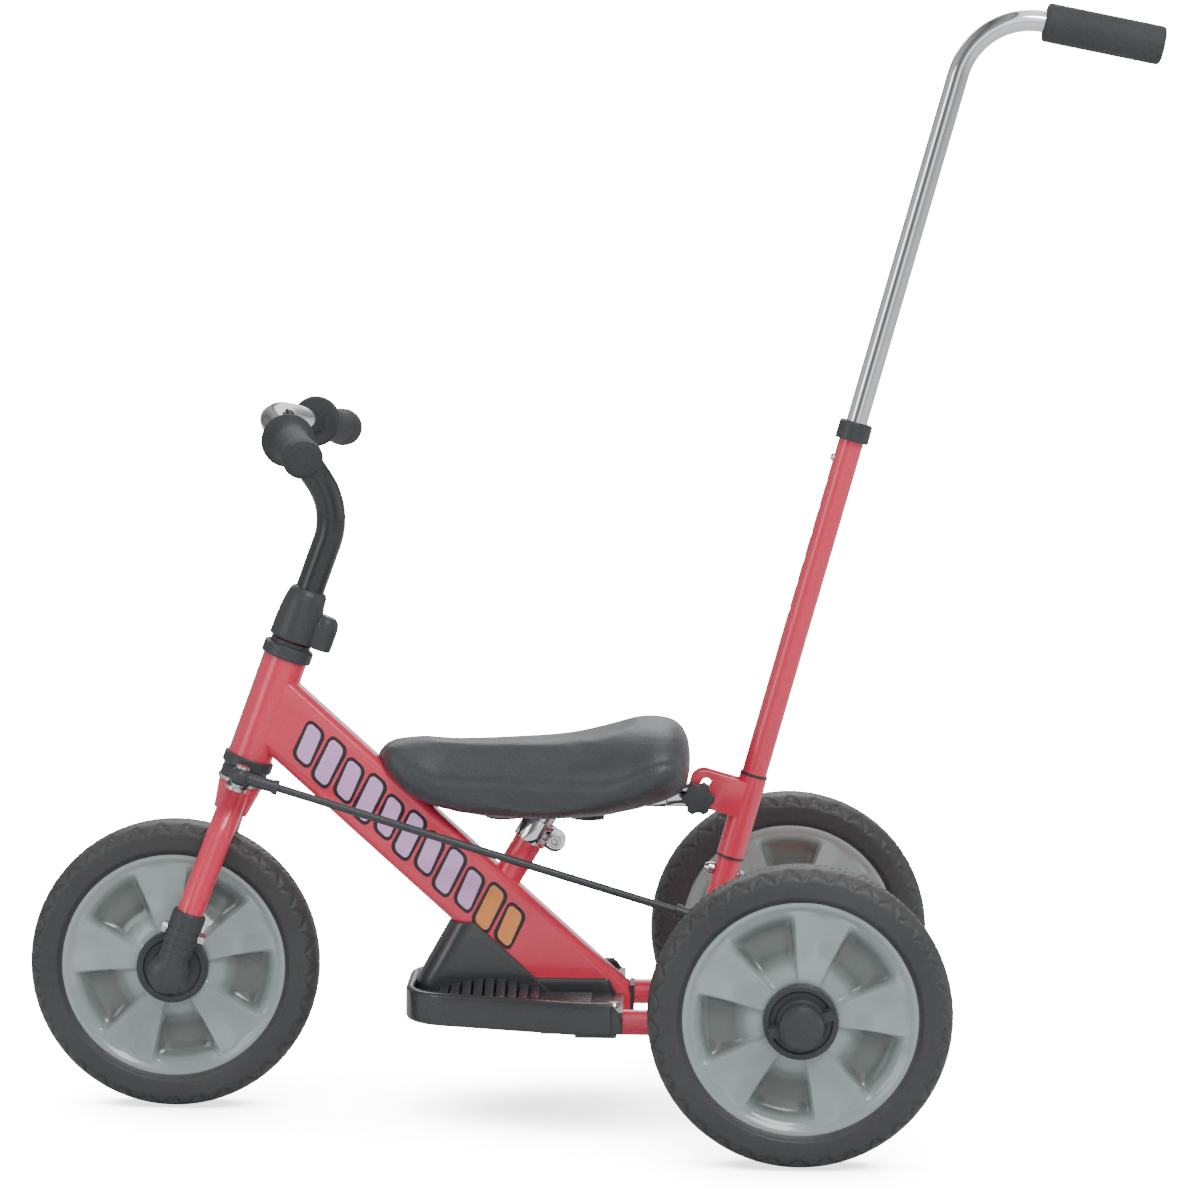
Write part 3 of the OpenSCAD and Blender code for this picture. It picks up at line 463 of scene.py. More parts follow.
# %% soft edges on the CAD nodes
for name, width in (
    ("seat_clamp", 0.0005),
    ("star_knob", 0.0012),
    ("front_saddle_knob", 0.0008),
    ("rear_saddle_knob", 0.0008),
    ("seat_bracket", 0.0004),
    ("seat_bar", 0.0008),
    ("clamp_bolt", 0.0004),
    ("crank_arm", 0.0008),
):
    node = frame["nodes"][name]
    weld = node.modifiers.new("weld", "WELD")
    weld.merge_threshold = 0.00002
    bevel(node, width, 3, 28)
for node in frame["nodes"].values():
    smooth(node, 32)
print("softened CAD nodes:", sum(bool(node.modifiers) for node in frame["nodes"].values()))

# %% [markdown]
# ## Rims
# Each rim is one plastic moulding. Between five broad spokes lie five deep pockets, and each spoke
# has a shallow valley down its middle. Seen from the front it is a height map over a disc, so the
# face starts as a ring of corners at the hub that is extruded outwards ring by ring. Then the
# corners are lifted to the height that the moulding has there, and a bevel rounds every edge.

# %% the height of the moulding
SPOKES = 5
SECTOR = 360 / SPOKES
SPOKE_HALF = 15.2
LIP_R = 78.5
RIM_R = 86.8
HALF_COLUMNS = [0, 5, 10, 14.4, SPOKE_HALF, 18.4, 21.6, 26, 31]
RINGS = [26, 30, 33, 37, 42, 48, 54, 60, 66, 71, 74, 76, LIP_R, 79.6, 82, 84.5, 86, RIM_R]


def ease(value, low, high):
    """0 below low, 1 above high, and a smooth rise between."""
    t = min(1, max(0, (value - low) / (high - low)))
    return t * t * (3 - 2 * t)


def spoke_height(turn, radius):
    """Top of a spoke: high at the hub, dipping in the middle, flush with the lip outside."""
    crown = 17.5 - 4.2 * ease(radius, 30, 52) + 1.2 * ease(radius, 58, LIP_R)
    valley = 3.4 * ease(radius, 30, 60) * (1 - turn / SPOKE_HALF)
    return crown - valley


def pocket_height(radius):
    """Floor of a pocket: shelves down from the hub and curves up to the lip."""
    fall = 14.5 - 11.8 * ease(radius, 28, 50)
    return fall + 11.6 * ease(radius, 64, LIP_R + 1) ** 1.5


def face_height(turn, radius):
    """Height of the rim's face at turn degrees from a spoke's middle."""
    if radius > LIP_R:
        crest = 15.6 - 2.4 * ease(-radius, -LIP_R - 3, -LIP_R)
        return crest - 1.6 * ease(radius, 84.5, RIM_R)
    wall = ease(turn, SPOKE_HALF, SPOKE_HALF + 3.2 + 60 / radius)
    return spoke_height(min(turn, SPOKE_HALF), radius) * (1 - wall) + pocket_height(radius) * wall


print("height at hub, spoke, pocket:", face_height(0, 30), face_height(0, 60), face_height(36, 60))


# %% a rim from extruded rings
def rim_columns():
    """Angles of all corners round the disc, closer together where a spoke's wall is."""
    half = HALF_COLUMNS + [SECTOR / 2]
    one = [-angle for angle in reversed(half[1:-1])] + half
    return [(spoke * SECTOR + angle) for spoke in range(SPOKES) for angle in one]


def rim_face(name):
    columns = rim_columns()
    count = len(columns)
    clear()
    bpy.ops.mesh.primitive_circle_add(vertices=count, radius=RINGS[0] * MM)
    piece = bpy.context.object
    piece.name = name
    bpy.ops.object.mode_set(mode="EDIT")
    bpy.ops.mesh.select_all(action="SELECT")
    for inner, outer in zip(RINGS, RINGS[1:]):
        bpy.ops.mesh.extrude_region_move()
        grow = outer / inner
        bpy.ops.transform.resize(value=(grow, grow, 1), center_override=(0, 0, 0))
    bpy.ops.object.mode_set(mode="OBJECT")
    for vertex in piece.data.vertices:
        radius = vertex.co.to_2d().length / MM
        step = (math.degrees(math.atan2(vertex.co.y, vertex.co.x)) - 90) / 360 * count
        angle = columns[round(step) % count]
        turn = abs((angle + SECTOR / 2) % SECTOR - SECTOR / 2)
        height = face_height(turn, radius)
        around = math.radians(angle)
        vertex.co = Vector((radius * math.cos(around), radius * math.sin(around), height)) * MM
    return piece


def rim(name, spoke_angle):
    """Two faces back to back, closed by the barrel under the tyre and the hub's bore."""
    front = rim_face(name)
    only(front)
    bpy.ops.object.mode_set(mode="EDIT")
    bpy.ops.mesh.select_all(action="SELECT")
    bpy.ops.mesh.duplicate()
    bpy.ops.transform.resize(value=(1, 1, -1), center_override=(0, 0, 0))
    bpy.ops.object.mode_set(mode="OBJECT")
    for radius in (RINGS[0], RIM_R):
        bridge_loops(front, radius * MM)
    outward(front)
    bevel(front, 0.0006, 2, 32)
    apply_modifiers(front)
    smooth(front, 38)
    # painted shade in the recesses: 1 on the low floors inside the lip, fading to 0 as the face rises toward the
    # spokes
    pocket = front.data.attributes.new("pocket", "FLOAT", "POINT")
    for vertex in front.data.vertices:
        inside = vertex.co.to_2d().length / MM < LIP_R + 1
        pocket.data[vertex.index].value = inside * (1 - ease(abs(vertex.co.z) / MM, 3.2, 10.5))
    front.data.transform(Matrix.Rotation(math.radians(spoke_angle), 4, "Z"))
    return front


def bridge_loops(piece, radius):
    """Joins the front and back edge loops that lie at this radius."""
    only(piece)
    bpy.ops.object.mode_set(mode="EDIT")
    bpy.ops.mesh.select_mode(type="VERT")
    bpy.ops.mesh.select_all(action="DESELECT")
    bpy.ops.object.mode_set(mode="OBJECT")
    for vertex in piece.data.vertices:
        vertex.select = abs(vertex.co.to_2d().length - radius) < 0.0001
    bpy.ops.object.mode_set(mode="EDIT")
    bpy.ops.mesh.bridge_edge_loops()
    bpy.ops.object.mode_set(mode="OBJECT")


def wheel_place(hub, side):
    """Wheel space: z points out of the tricycle on its side, -1 left or 1 right."""
    return Matrix.Translation(hub) @ Matrix.Rotation(math.radians(-90 * side), 4, "X")


# %% [markdown]
# ## Tyres
# The tyres are foam with a flat side band and a shoulder pressed with small V notches that run into
# a zigzag across the tread. A notch has to be real geometry, because the outline of the tyre shows
# it, so the ring is spun with fine steps and its corners are pushed inwards along the pattern.

# %% the tyre and its tread
TYRE_HALF = (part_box("front_tyre")[1][1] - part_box("front_tyre")[0][1]) / 2 / MM
NOTCHES = 34
TYRE_STEPS = NOTCHES * 18
TREAD = [(100.6, 0.15), (102, 0.6), (103.5, 1.3), (104.9, 2.4), (106.1, 3.6), (107.1, 5), (108, 6.5)]
TREAD += [(108.7, 8.2), (109.2, 9.8), (109.5, 11.4), (109.8, 13), (110, 14.8), (110, 16.6)]


def tyre_profile():
    """Half of the section from the bead to the middle of the tread, then its mirror."""
    half = [(80, TYRE_HALF - 6), (84, TYRE_HALF - 4), (87.2, TYRE_HALF - 2.6), (87.8, TYRE_HALF - 1.2)]
    half += [(88.6, TYRE_HALF - 0.5), (90, TYRE_HALF - 0.2), (98.6, TYRE_HALF), (99.6, TYRE_HALF - 0.1)]
    half += [(radius, TYRE_HALF - inset) for radius, inset in TREAD]
    return half + [(radius, -height) for radius, height in reversed(half)]


def notch_depth(around, radius, height):
    """Depth of the pressed pattern, in millimetres, at an angle in notches and a height."""
    inset = TYRE_HALF - abs(height)
    if radius < 100.4:
        return 0
    row = 0 if height > 0 else 0.5
    phase = abs((around + row) % 1 - 0.5)
    along = inset * 0.62 + max(0, radius - 101.2) * 0.62
    arm = 0.06 + along * 0.052
    near = 1 - ease(abs(phase - arm), 0.035, 0.085)
    fade = ease(radius, 100.4, 101.8) * (1 - ease(inset, 10.5, 12.5))
    centre = 0.0
    if inset > 12:
        wave = abs((around * 2) % 1 - 0.5) * 2
        centre = 0.8 * (1 - ease(abs(abs(height) / 6.6 - wave), 0.12, 0.3))
    return 1.5 * near * fade + centre


def tyre(name):
    piece = lathe(name, tyre_profile(), TYRE_STEPS)
    for vertex in piece.data.vertices:
        flat = vertex.co.to_2d()
        radius = flat.length / MM
        height = vertex.co.z / MM
        around = math.atan2(flat.y, flat.x) / math.tau * NOTCHES
        depth = notch_depth(around, radius, height) * MM
        if depth:
            slope = ease(radius, 101, 108)
            push = Vector((flat.x, flat.y, 0)).normalized() * slope
            push.z = (1 - slope) * math.copysign(1, height)
            vertex.co -= push.normalized() * depth
    only(piece)
    bpy.ops.object.shade_smooth()
    return piece


# %% three wheels from one rim and one tyre
wheels = (
    ("front", "front_wheel", -1, 97.5),
    ("rear_left", "rear_left_wheel", -1, 78.5),
    ("rear_right", "rear_right_wheel", 1, 90),
)
first_tyre = tyre("tyre_shape")
for side, body, hand, angle in wheels:
    place = wheel_place(hubs[side], hand)
    moulding = rim(side + "_rim_moulding", angle)
    settle(moulding, place)
    dress(moulding, "rim_grey", body)
    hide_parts(side + "_rim")
    ring = first_tyre.copy()
    ring.data = first_tyre.data.copy()
    ring.name = side + "_tyre_tread"
    bpy.context.scene.collection.objects.link(ring)
    settle(ring, place)
    dress(ring, "tyre", body)
    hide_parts(side + "_tyre")
bpy.data.objects.remove(first_tyre)
print("rim and tyre faces:", len(moulding.data.polygons), len(ring.data.polygons))

# %% [markdown]
# ## Main beam
# The beam is a steel oval drawn almost square. A cube is stretched along its slope, its four long
# edges get a wide bevel, and two bisect cuts give it the coped head and the level, upright foot.

# %% the rounded beam
BEAM_SLOPE = math.radians(41.9)
BEAM_EDGE = 7.5 * MM
beam_low, beam_high = (Vector(corner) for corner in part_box("main_beam"))
beam_dir = Vector((math.cos(BEAM_SLOPE), 0, -math.sin(BEAM_SLOPE)))
beam_up = Vector((math.sin(BEAM_SLOPE), 0, math.cos(BEAM_SLOPE)))
BEAM_W = beam_high.y - beam_low.y
BEAM_H = 54 * MM
beam_mid = Vector((rear_x - 0.3923, 0, 0.3017))


def beam_place():
    turn = Matrix((beam_dir, Vector((0, 1, 0)), beam_up)).transposed()
    return Matrix.Translation(beam_mid) @ turn.to_4x4()


def cut(piece, point, normal):
    """Bisects the piece and keeps what lies behind the plane, closed by a new face."""
    only(piece)
    bpy.ops.object.mode_set(mode="EDIT")
    bpy.ops.mesh.select_all(action="SELECT")
    bpy.ops.mesh.bisect(plane_co=point, plane_no=normal, use_fill=True, clear_outer=True)
    bpy.ops.object.mode_set(mode="OBJECT")


clear()
bpy.ops.mesh.primitive_cube_add(size=1)
beam = bpy.context.object
beam.name = "rounded_beam"
beam.scale = (0.62, BEAM_W, BEAM_H)
beam.location = (0.12, 0, 0)
bpy.ops.object.transform_apply(location=True, rotation=True, scale=True)
long_edges = beam.modifiers.new("long edges", "BEVEL")
long_edges.width = BEAM_EDGE
long_edges.segments = 8
long_edges.limit_method = "WEIGHT"
weights = beam.data.attributes.new("bevel_weight_edge", "FLOAT", "EDGE")
for edge in beam.data.edges:
    ends = [beam.data.vertices[index].co for index in edge.vertices]
    weights.data[edge.index].value = 1.0 if abs(ends[0].x - ends[1].x) > 0.1 else 0.0
apply_modifiers(beam)
settle(beam, beam_place())
cut(beam, (beam_high.x, 0, 0), (1, 0, 0))
cut(beam, (0, 0, beam_low.z), (0, 0, -1))
head_point = front_hub + steer_axis * 0.211
head_across = Vector((steer_axis.z, 0, -steer_axis.x))
cut(beam, head_point, -head_across)
outward(beam)
smooth(beam, 40)
dress(beam, "red_paint", "frame")
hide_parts("main_beam")
print("beam box", [round(v, 3) for v in beam.bound_box[0]], len(beam.data.polygons), "faces")

# %% [markdown]
# ## Saddle
# The saddle is a foam pad in a vinyl skin. Its side view gives the shape: a nose, a long dip and a
# raised tail. A ball's rings are moved to stations along that view, then the form is remeshed and
# blown up a little by a cloth simulation, so that the skin looks filled. The soft crease between
# the top and the skirt is pressed in last, because a remesh would remove it.

# %% stations along the saddle
# distance behind the rear axle, top, bottom and half width, in millimetres
STATIONS = [
    (-319.3, 271, 271, 0),
    (-308, 282, 257, 22),
    (-290, 282.6, 240.5, 32),
    (-258, 280, 231.6, 39),
    (-215, 281.4, 229, 46),
    (-172, 284.6, 229.6, 56),
    (-140, 291.6, 232.4, 65),
    (-112, 299.6, 238.4, 70),
    (-93, 298.6, 244.5, 66),
    (-82.5, 287, 252.5, 50),
    (-79.4, 268, 268, 0),
]


def station(along):
    """Top, bottom and half width at a place from 0 at the nose to 1 at the tail."""
    reach = min(max(along, 0), 1) * (len(STATIONS) - 1)
    index = min(int(reach), len(STATIONS) - 2)
    t = reach - index
    last = len(STATIONS) - 1
    four = (STATIONS[min(max(index + k, 0), last)] for k in (-1, 0, 1, 2))
    values = []
    for a, b, c, d in zip(*four):
        curve = 2 * a - 5 * b + 4 * c - d + t * (3 * (b - c) + d - a)
        values.append(b + 0.5 * t * (c - a + t * curve))
    return values


def saddle_form():
    """A ball whose rings follow the stations; the underside is flatter than the crown."""
    clear()
    bpy.ops.mesh.primitive_uv_sphere_add(segments=56, ring_count=60, radius=1)
    piece = bpy.context.object
    piece.name = "padded_saddle"
    for vertex in piece.data.vertices:
        polar = math.acos(max(-1, min(1, vertex.co.z))) / math.pi
        x, top, bottom, half = station(polar)
        around = math.atan2(vertex.co.y, vertex.co.x)
        side = math.copysign(abs(math.cos(around)) ** 0.82, math.cos(around))
        rise = math.sin(around)
        lift = abs(rise) ** (0.92 if rise > 0 else 0.62)
        centre = bottom + (top - bottom) * 0.42
        height = centre + lift * (top - centre) if rise > 0 else centre - lift * (centre - bottom)
        tuck = 1 - 0.16 * max(0, -rise)
        vertex.co = Vector((rear_x / MM + x, side * half * tuck, height)) * MM
    return piece


def inflate(piece, frames=20, cap=4 * MM):
    """Cloth pressure swells the skin; no point moves further than cap."""
    rest = [vertex.co.copy() for vertex in piece.data.vertices]
    cloth = piece.modifiers.new("skin", "CLOTH")
    cloth.settings.use_pressure = True
    cloth.settings.uniform_pressure_force = 4
    cloth.settings.effector_weights.gravity = 0
    cloth.settings.tension_stiffness = 25
    cloth.settings.compression_stiffness = 25
    for step in range(1, frames + 1):
        bpy.context.scene.frame_set(step)
    shown = piece.evaluated_get(bpy.context.evaluated_depsgraph_get())
    moved = [vertex.co.copy() for vertex in shown.data.vertices]
    piece.modifiers.remove(cloth)
    bpy.context.scene.frame_set(1)
    for vertex, start, end in zip(piece.data.vertices, rest, moved):
        push = end - start
        if push.length > cap:
            push = push.normalized() * cap
        vertex.co = start + push


# %% crease and skirt
def seam_height(x):
    """Height of the crease along the side: low in the middle, rising at both ends."""
    behind = x / MM - rear_x / MM
    nose = ease(-behind, 268, 312)
    tail = ease(behind, -150, -96)
    return (256.5 + 17 * nose + 18 * tail) * MM


def press_crease(piece, depth=1.5 * MM, width=2.6 * MM):
    middle_x = (STATIONS[0][0] + STATIONS[-1][0]) / 2 * MM + rear_x
    for vertex in piece.data.vertices:
        gap = vertex.co.z - seam_height(vertex.co.x)
        behind = (vertex.co.x - rear_x) / MM
        ends = ease(behind, -312, -262) * (1 - ease(behind, -104, -84))
        press = math.exp(-((gap / width) ** 2)) * ends
        inward = Vector((middle_x - vertex.co.x, 0, 0)) * 0.25 + Vector((0, -vertex.co.y, 0))
        if press > 0.01 and inward.length:
            vertex.co += inward.normalized() * depth * press


def gather(piece):
    """Fine folds where the vinyl is pulled under the pad's rear corner."""
    for vertex in piece.data.vertices:
        low = 1 - ease(vertex.co.z / MM, 232, 250)
        if low > 0:
            ripple = noise.noise(vertex.co * 90) * 0.5 * MM
            vertex.co.z += ripple * low


saddle = saddle_form()
outward(saddle)
remesh = saddle.modifiers.new("even skin", "REMESH")
remesh.mode = "VOXEL"
remesh.voxel_size = 0.0045
apply_modifiers(saddle)
inflate(saddle)
refine = saddle.modifiers.new("fine skin", "SUBSURF")
refine.levels = 1
refine.render_levels = 1
apply_modifiers(saddle)
press_crease(saddle)
gather(saddle)
smooth(saddle, 60)
dress(saddle, "saddle_cover", "seat")
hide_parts("saddle")
print("saddle faces", len(saddle.data.polygons))

# %% [markdown]
# ## Stem cover and fork boots
# Both are soft mouldings whose parts melt into each other. Each is lathed from a few closed forms,
# which overlap, and a voxel remesh makes them one skin; a Smooth modifier then rounds the joints.

# %% melting closed forms together
def melt(name, forms, voxel, passes):
    piece = join(name, forms)
    remesh = piece.modifiers.new("one skin", "REMESH")
    remesh.mode = "VOXEL"
    remesh.voxel_size = voxel
    relax = piece.modifiers.new("round joints", "SMOOTH")
    relax.factor = 0.5
    relax.iterations = passes
    apply_modifiers(piece)
    return piece


def turned_form(profile, place=Matrix.Identity(4)):
    form = lathe("form", profile, 64)
    settle(form, place)
    return form


def along_steering(x, y, z):
    return Matrix.Translation(Vector((x, y, z)) * MM)


# %% the stem cover
COVER_LOW = 263.6
bell = turned_form([(0, COVER_LOW), (17.4, COVER_LOW), (17.9, COVER_LOW + 1.2), (17.8, COVER_LOW + 10),
    (17.2, COVER_LOW + 22), (16, COVER_LOW + 32), (14.6, COVER_LOW + 37.5), (12.4, COVER_LOW + 40.6),
    (0, COVER_LOW + 41.4)])
lobe = turned_form([(0, COVER_LOW - 0.4), (9.4, COVER_LOW - 0.4), (9.9, COVER_LOW + 0.8),
    (9.8, COVER_LOW + 18), (8.8, COVER_LOW + 22.5), (6, COVER_LOW + 25.5), (0, COVER_LOW + 26.8)],
    along_steering(20.6, 0, 0))
web = block((4 * MM, -9.6 * MM, (COVER_LOW - 0.2) * MM), (20.6 * MM, 9.6 * MM, (COVER_LOW + 19) * MM))
cover = melt("stem_cover_moulding", [bell, lobe, web], 0.7 * MM, 7)
for vertex in cover.data.vertices:
    scoop = (vertex.co - Vector((19.5, 0, COVER_LOW + 31)) * MM).length / MM
    vertex.co.x -= 2.6 * MM * (1 - ease(scoop, 3, 9))
settle(cover, steer_place)
smooth(cover, 50)
dress(cover, "black_plastic", "steering")
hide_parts("stem_cover")
print("stem cover faces", len(cover.data.polygons))

# %% the two fork boots
LEG_Y = 49
BOOT_TOP = 50
RIBS = 4


def boot_profile():
    """Socket round the leg: a plain collar on top, then grooves between low ribs."""
    profile = [(0, 4), (11.6, 4)]
    for rib in range(RIBS):
        low = 12 + rib * 6.2
        grow = 0.35 * rib
        profile += [(11.4 + grow, low), (11.4 + grow, low + 4.6), (10.8 + grow, low + 5.1),
            (10.8 + grow, low + 5.8)]
    return profile + [(12.7, 37), (12.8, BOOT_TOP - 1.2), (12, BOOT_TOP), (0, BOOT_TOP)]


def fork_boot(side):
    socket = turned_form(boot_profile(), along_steering(0, side * LEG_Y, 0))
    turn = Matrix.Rotation(math.radians(-90 * side), 4, "X")
    lying = along_steering(0, side * (LEG_Y - 9.6), 0) @ turn
    dome = turned_form([(0, 0), (14.2, 0), (15.4, 1.5), (15.5, 11), (14.6, 15.2), (11.8, 19),
        (7, 21.2), (0, 22)], lying)
    return melt("boot", [socket, dome], 0.6 * MM, 2)


boots = join("fork_boot_mouldings", [fork_boot(side) for side in (-1, 1)])
settle(boots, steer_place)
smooth(boots, 50)
dress(boots, "black_plastic", "steering")
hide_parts("fork_boots")
print("boot faces", len(boots.data.polygons))

# %% [markdown]
# ## Footrest
# The footrest is one polished moulding: a tray with a slim rounded rim, open at the back, and a
# housing that rises in the middle and holds the foot of the beam. The tray starts as a circle whose
# corners are moved to the plan outline; its face is extruded up, inset for the rim and pushed down
# for the floor, and a bisect opens the back before Solidify gives it a wall.

# %% the tray
PLATE_TOP = 92.5 * MM
RIM_TOP = 98.5 * MM
PLATE_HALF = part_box("footrest")[1][1]
PLATE_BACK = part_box("footrest")[1][0]
PLATE_FRONT = rear_x - 292 * MM
WALL_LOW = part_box("footrest")[0][2]
CORNER = 38 * MM
NOSE_HALF = 26 * MM
TAPER = math.radians(15.5)
RIM_WIDE = 3.8 * MM
END_LONG = 9 * MM


def reach_at(x, inset=5 * MM):
    """Half width of the plate inside its wall at a place along it."""
    inner = CORNER - inset
    behind = x - PLATE_FRONT - CORNER
    if behind < 0:
        return NOSE_HALF + math.sqrt(max(0, inner * inner - behind * behind))
    return min(NOSE_HALF + (inner + math.sin(TAPER) * behind) / math.cos(TAPER), PLATE_HALF - inset)


def plan_outline(steps=24):
    """Plan of the footrest: a front corner, a side that spreads and a straight end, then mirrored."""
    half = []
    for index in range(steps + 1):
        turn = (math.pi / 2 - TAPER) * index / steps
        half.append((PLATE_FRONT + CORNER * (1 - math.cos(turn)), NOSE_HALF + CORNER * math.sin(turn)))
    spread = (math.cos(TAPER) * (PLATE_HALF - NOSE_HALF) - CORNER) / math.sin(TAPER)
    half += [(PLATE_FRONT + CORNER + spread, PLATE_HALF), (PLATE_BACK + END_LONG, PLATE_HALF)]
    return half + [(x, -y) for x, y in reversed(half)]


def tray():
    outline = plan_outline()
    clear()
    bpy.ops.mesh.primitive_circle_add(vertices=len(outline), radius=1, fill_type="NGON")
    piece = bpy.context.object
    piece.name = "footrest_moulding"
    for vertex, (x, y) in zip(piece.data.vertices, outline):
        vertex.co = (x, y, WALL_LOW)
    bpy.ops.object.mode_set(mode="EDIT")
    bpy.ops.mesh.select_mode(type="FACE")
    bpy.ops.mesh.select_all(action="SELECT")
    bpy.ops.mesh.extrude_region_move(TRANSFORM_OT_translate={"value": (0, 0, RIM_TOP - WALL_LOW)})
    bpy.ops.mesh.inset(thickness=RIM_WIDE, use_even_offset=True)
    bpy.ops.mesh.extrude_region_move(TRANSFORM_OT_translate={"value": (0, 0, PLATE_TOP - RIM_TOP)})
    bpy.ops.mesh.select_all(action="SELECT")
    back = (PLATE_BACK - END_LONG, 0, 0)
    bpy.ops.mesh.bisect(plane_co=back, plane_no=(1, 0, 0), clear_outer=True)
    bpy.ops.mesh.select_mode(type="VERT")
    bpy.ops.object.mode_set(mode="OBJECT")
    bevel(piece, 1.5 * MM, 4, 50)
    wall = piece.modifiers.new("wall", "SOLIDIFY")
    wall.thickness = 1.4 * MM
    wall.offset = -1
    apply_modifiers(piece)
    return piece


def wall_end(side):
    """The solid end of the side wall, with its upper corner sloping down to the back."""
    low, high = sorted((side * (PLATE_HALF - RIM_WIDE), side * (PLATE_HALF - 0.05 * MM)))
    piece = block((PLATE_BACK - END_LONG - MM, low, WALL_LOW), (PLATE_BACK, high, RIM_TOP - 0.1 * MM))
    settle(piece)
    cut(piece, (PLATE_BACK - 8 * MM, 0, RIM_TOP), Vector((9.7, 0, 8)).normalized())
    bevel(piece, 0.9 * MM, 3)
    apply_modifiers(piece)
    return piece


def floor_end():
    """The floor carries on to the back edge between the two side walls."""
    half = PLATE_HALF - RIM_WIDE + MM
    start = PLATE_BACK - END_LONG - MM
    return block((start, -half, PLATE_TOP - 1.5 * MM), (PLATE_BACK, half, PLATE_TOP))


# %% the housing round the foot of the beam
HOUSING_HALF = 19


def housing_ring(height, nose, back, radius, half=HOUSING_HALF):
    """One level of the housing: a round nose in front and straight sides to the back."""
    points = []
    for index in range(13):
        turn = math.radians(-90 + 180 * index / 12)
        x = nose + radius * (1 - math.cos(turn))
        y = math.copysign(half - radius + radius * abs(math.sin(turn)), turn) if turn else 0
        points.append((x, y, height))
    sides = 10
    for index in range(1, sides + 1):
        points.append((nose + radius + (back - nose - radius) * index / sides, half, height))
    for index in range(sides, 0, -1):
        points.append((nose + radius + (back - nose - radius) * index / sides, -half, height))
    return [(rear_x + x * MM, y * MM, z * MM) for x, y, z in points]


def housing(levels):
    """A closed form through several levels, each a height, a nose, a back and a nose radius."""
    rings = [housing_ring(*level) for level in levels]
    clear()
    bpy.ops.mesh.primitive_circle_add(vertices=len(rings[0]), radius=1, fill_type="NGON")
    piece = bpy.context.object
    for vertex, place in zip(piece.data.vertices, rings[0]):
        vertex.co = place
    for ring in rings[1:]:
        only(piece)
        bpy.ops.object.mode_set(mode="EDIT")
        bpy.ops.mesh.extrude_region_move()
        bpy.ops.object.mode_set(mode="OBJECT")
        moved = [vertex for vertex in piece.data.vertices if vertex.select]
        for vertex, place in zip(moved, ring):
            vertex.co = place
    outward(piece)
    return piece


# the wedge in front is cut along the beam's slope; the ledge behind it keeps its level top and is
# a little narrower, so that their sides never share a plane
wedge = housing([(91, -288, -180, 17), (97, -287, -180, 17), (103, -285.5, -180, 17),
    (146, -261.5, -180, 15)])
cut(wedge, (rear_x - 240 * MM, 0, 143.7 * MM), beam_up)
ledge = housing([(91, -230, -134, 10, 18.4), (104, -226, -140, 10, 18.4)])
for form in (wedge, ledge):
    bevel(form, 1.4 * MM, 3, 40)
    apply_modifiers(form)

ends = [wall_end(side) for side in (-1, 1)]
foot_tray = join("footrest_moulding", [tray(), wedge, ledge, floor_end()] + ends)
settle(foot_tray)
smooth(foot_tray, 40)
dress(foot_tray, "gloss_black", "frame")
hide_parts("footrest")
print("footrest faces", len(foot_tray.data.polygons))

# %% [markdown]
# Each side of the floor carries two rows of blocks and, behind them, lines that run lengthwise. The
# inner row climbs the flank of the housing in a low arch, so the inner ends of its blocks are lifted.

# %% tread blocks
BLOCKS = 9
BLOCK_PITCH = 8.6 * MM
BLOCK_LONG = 7.0 * MM
BLOCKS_FROM = rear_x - 268 * MM


def side_block(x, long, side, inner, outer, height):
    """A block on the floor of one side, between two distances from the middle."""
    low, high = sorted((side * inner, side * outer))
    return block((x, low, PLATE_TOP - MM), (x + long, high, PLATE_TOP + height))


def lift_inner_end(piece, rise):
    settle(piece)
    nearest = min(abs(vertex.co.y) for vertex in piece.data.vertices)
    for vertex in piece.data.vertices:
        if vertex.co.z > PLATE_TOP and abs(vertex.co.y) < nearest + MM:
            vertex.co.z += rise


def tread_bars():
    bars = []
    for side in (-1, 1):
        for index in range(BLOCKS):
            x = BLOCKS_FROM + index * BLOCK_PITCH
            reach = min(reach_at(x), reach_at(x + BLOCK_LONG)) - 2 * MM
            climb = side_block(x, BLOCK_LONG, side, 19.5 * MM, min(46 * MM, reach), 2.8 * MM)
            lift_inner_end(climb, 9 * MM * math.sin(math.pi * (index + 0.8) / (BLOCKS + 0.6)))
            bars.append(climb)
            if reach > 55 * MM:
                bars.append(side_block(x, BLOCK_LONG, side, 49 * MM, reach, 2.8 * MM))
        for index in range(8):
            inner = (23 + index * 7.4) * MM
            bars.append(side_block(rear_x - 188 * MM, 36 * MM, side, inner, inner + 4 * MM, 2.4 * MM))
        low, high = sorted((side * (PLATE_HALF - 4.6 * MM), side * (PLATE_HALF + 0.5 * MM)))
        rim_lug = (rear_x - 152 * MM, low, RIM_TOP - 6 * MM), (rear_x - 140 * MM, high, RIM_TOP + MM)
        bars.append(block(*rim_lug))
        low, high = sorted((side * (PLATE_HALF - 18 * MM), side * (PLATE_HALF - 0.4 * MM)))
        start, end = rear_x - 164 * MM, rear_x - 133 * MM
        bars.append(block((start, low, WALL_LOW - 3 * MM), (end, high, PLATE_TOP - 2 * MM)))
    return bars


tread = join("footrest_tread", tread_bars())
bevel(tread, 0.8 * MM, 3)
apply_modifiers(tread)
settle(tread)
smooth(tread, 40)
dress(tread, "gloss_black", "frame")
print("tread faces", len(tread.data.polygons))

# %% [markdown]
# ## Decals
# The maker's lettering is left out. In its place the beam carries a plain row of slanted bars in
# lilac and two in orange, each on a dark outline. They are thin flat shapes just proud of the paint.

# %% slanted bars on both sides of the beam
def ink(name, colour, second):
    return finish(name, colour, second, 0.3, 0.05, 500, 0.03, 0.02)


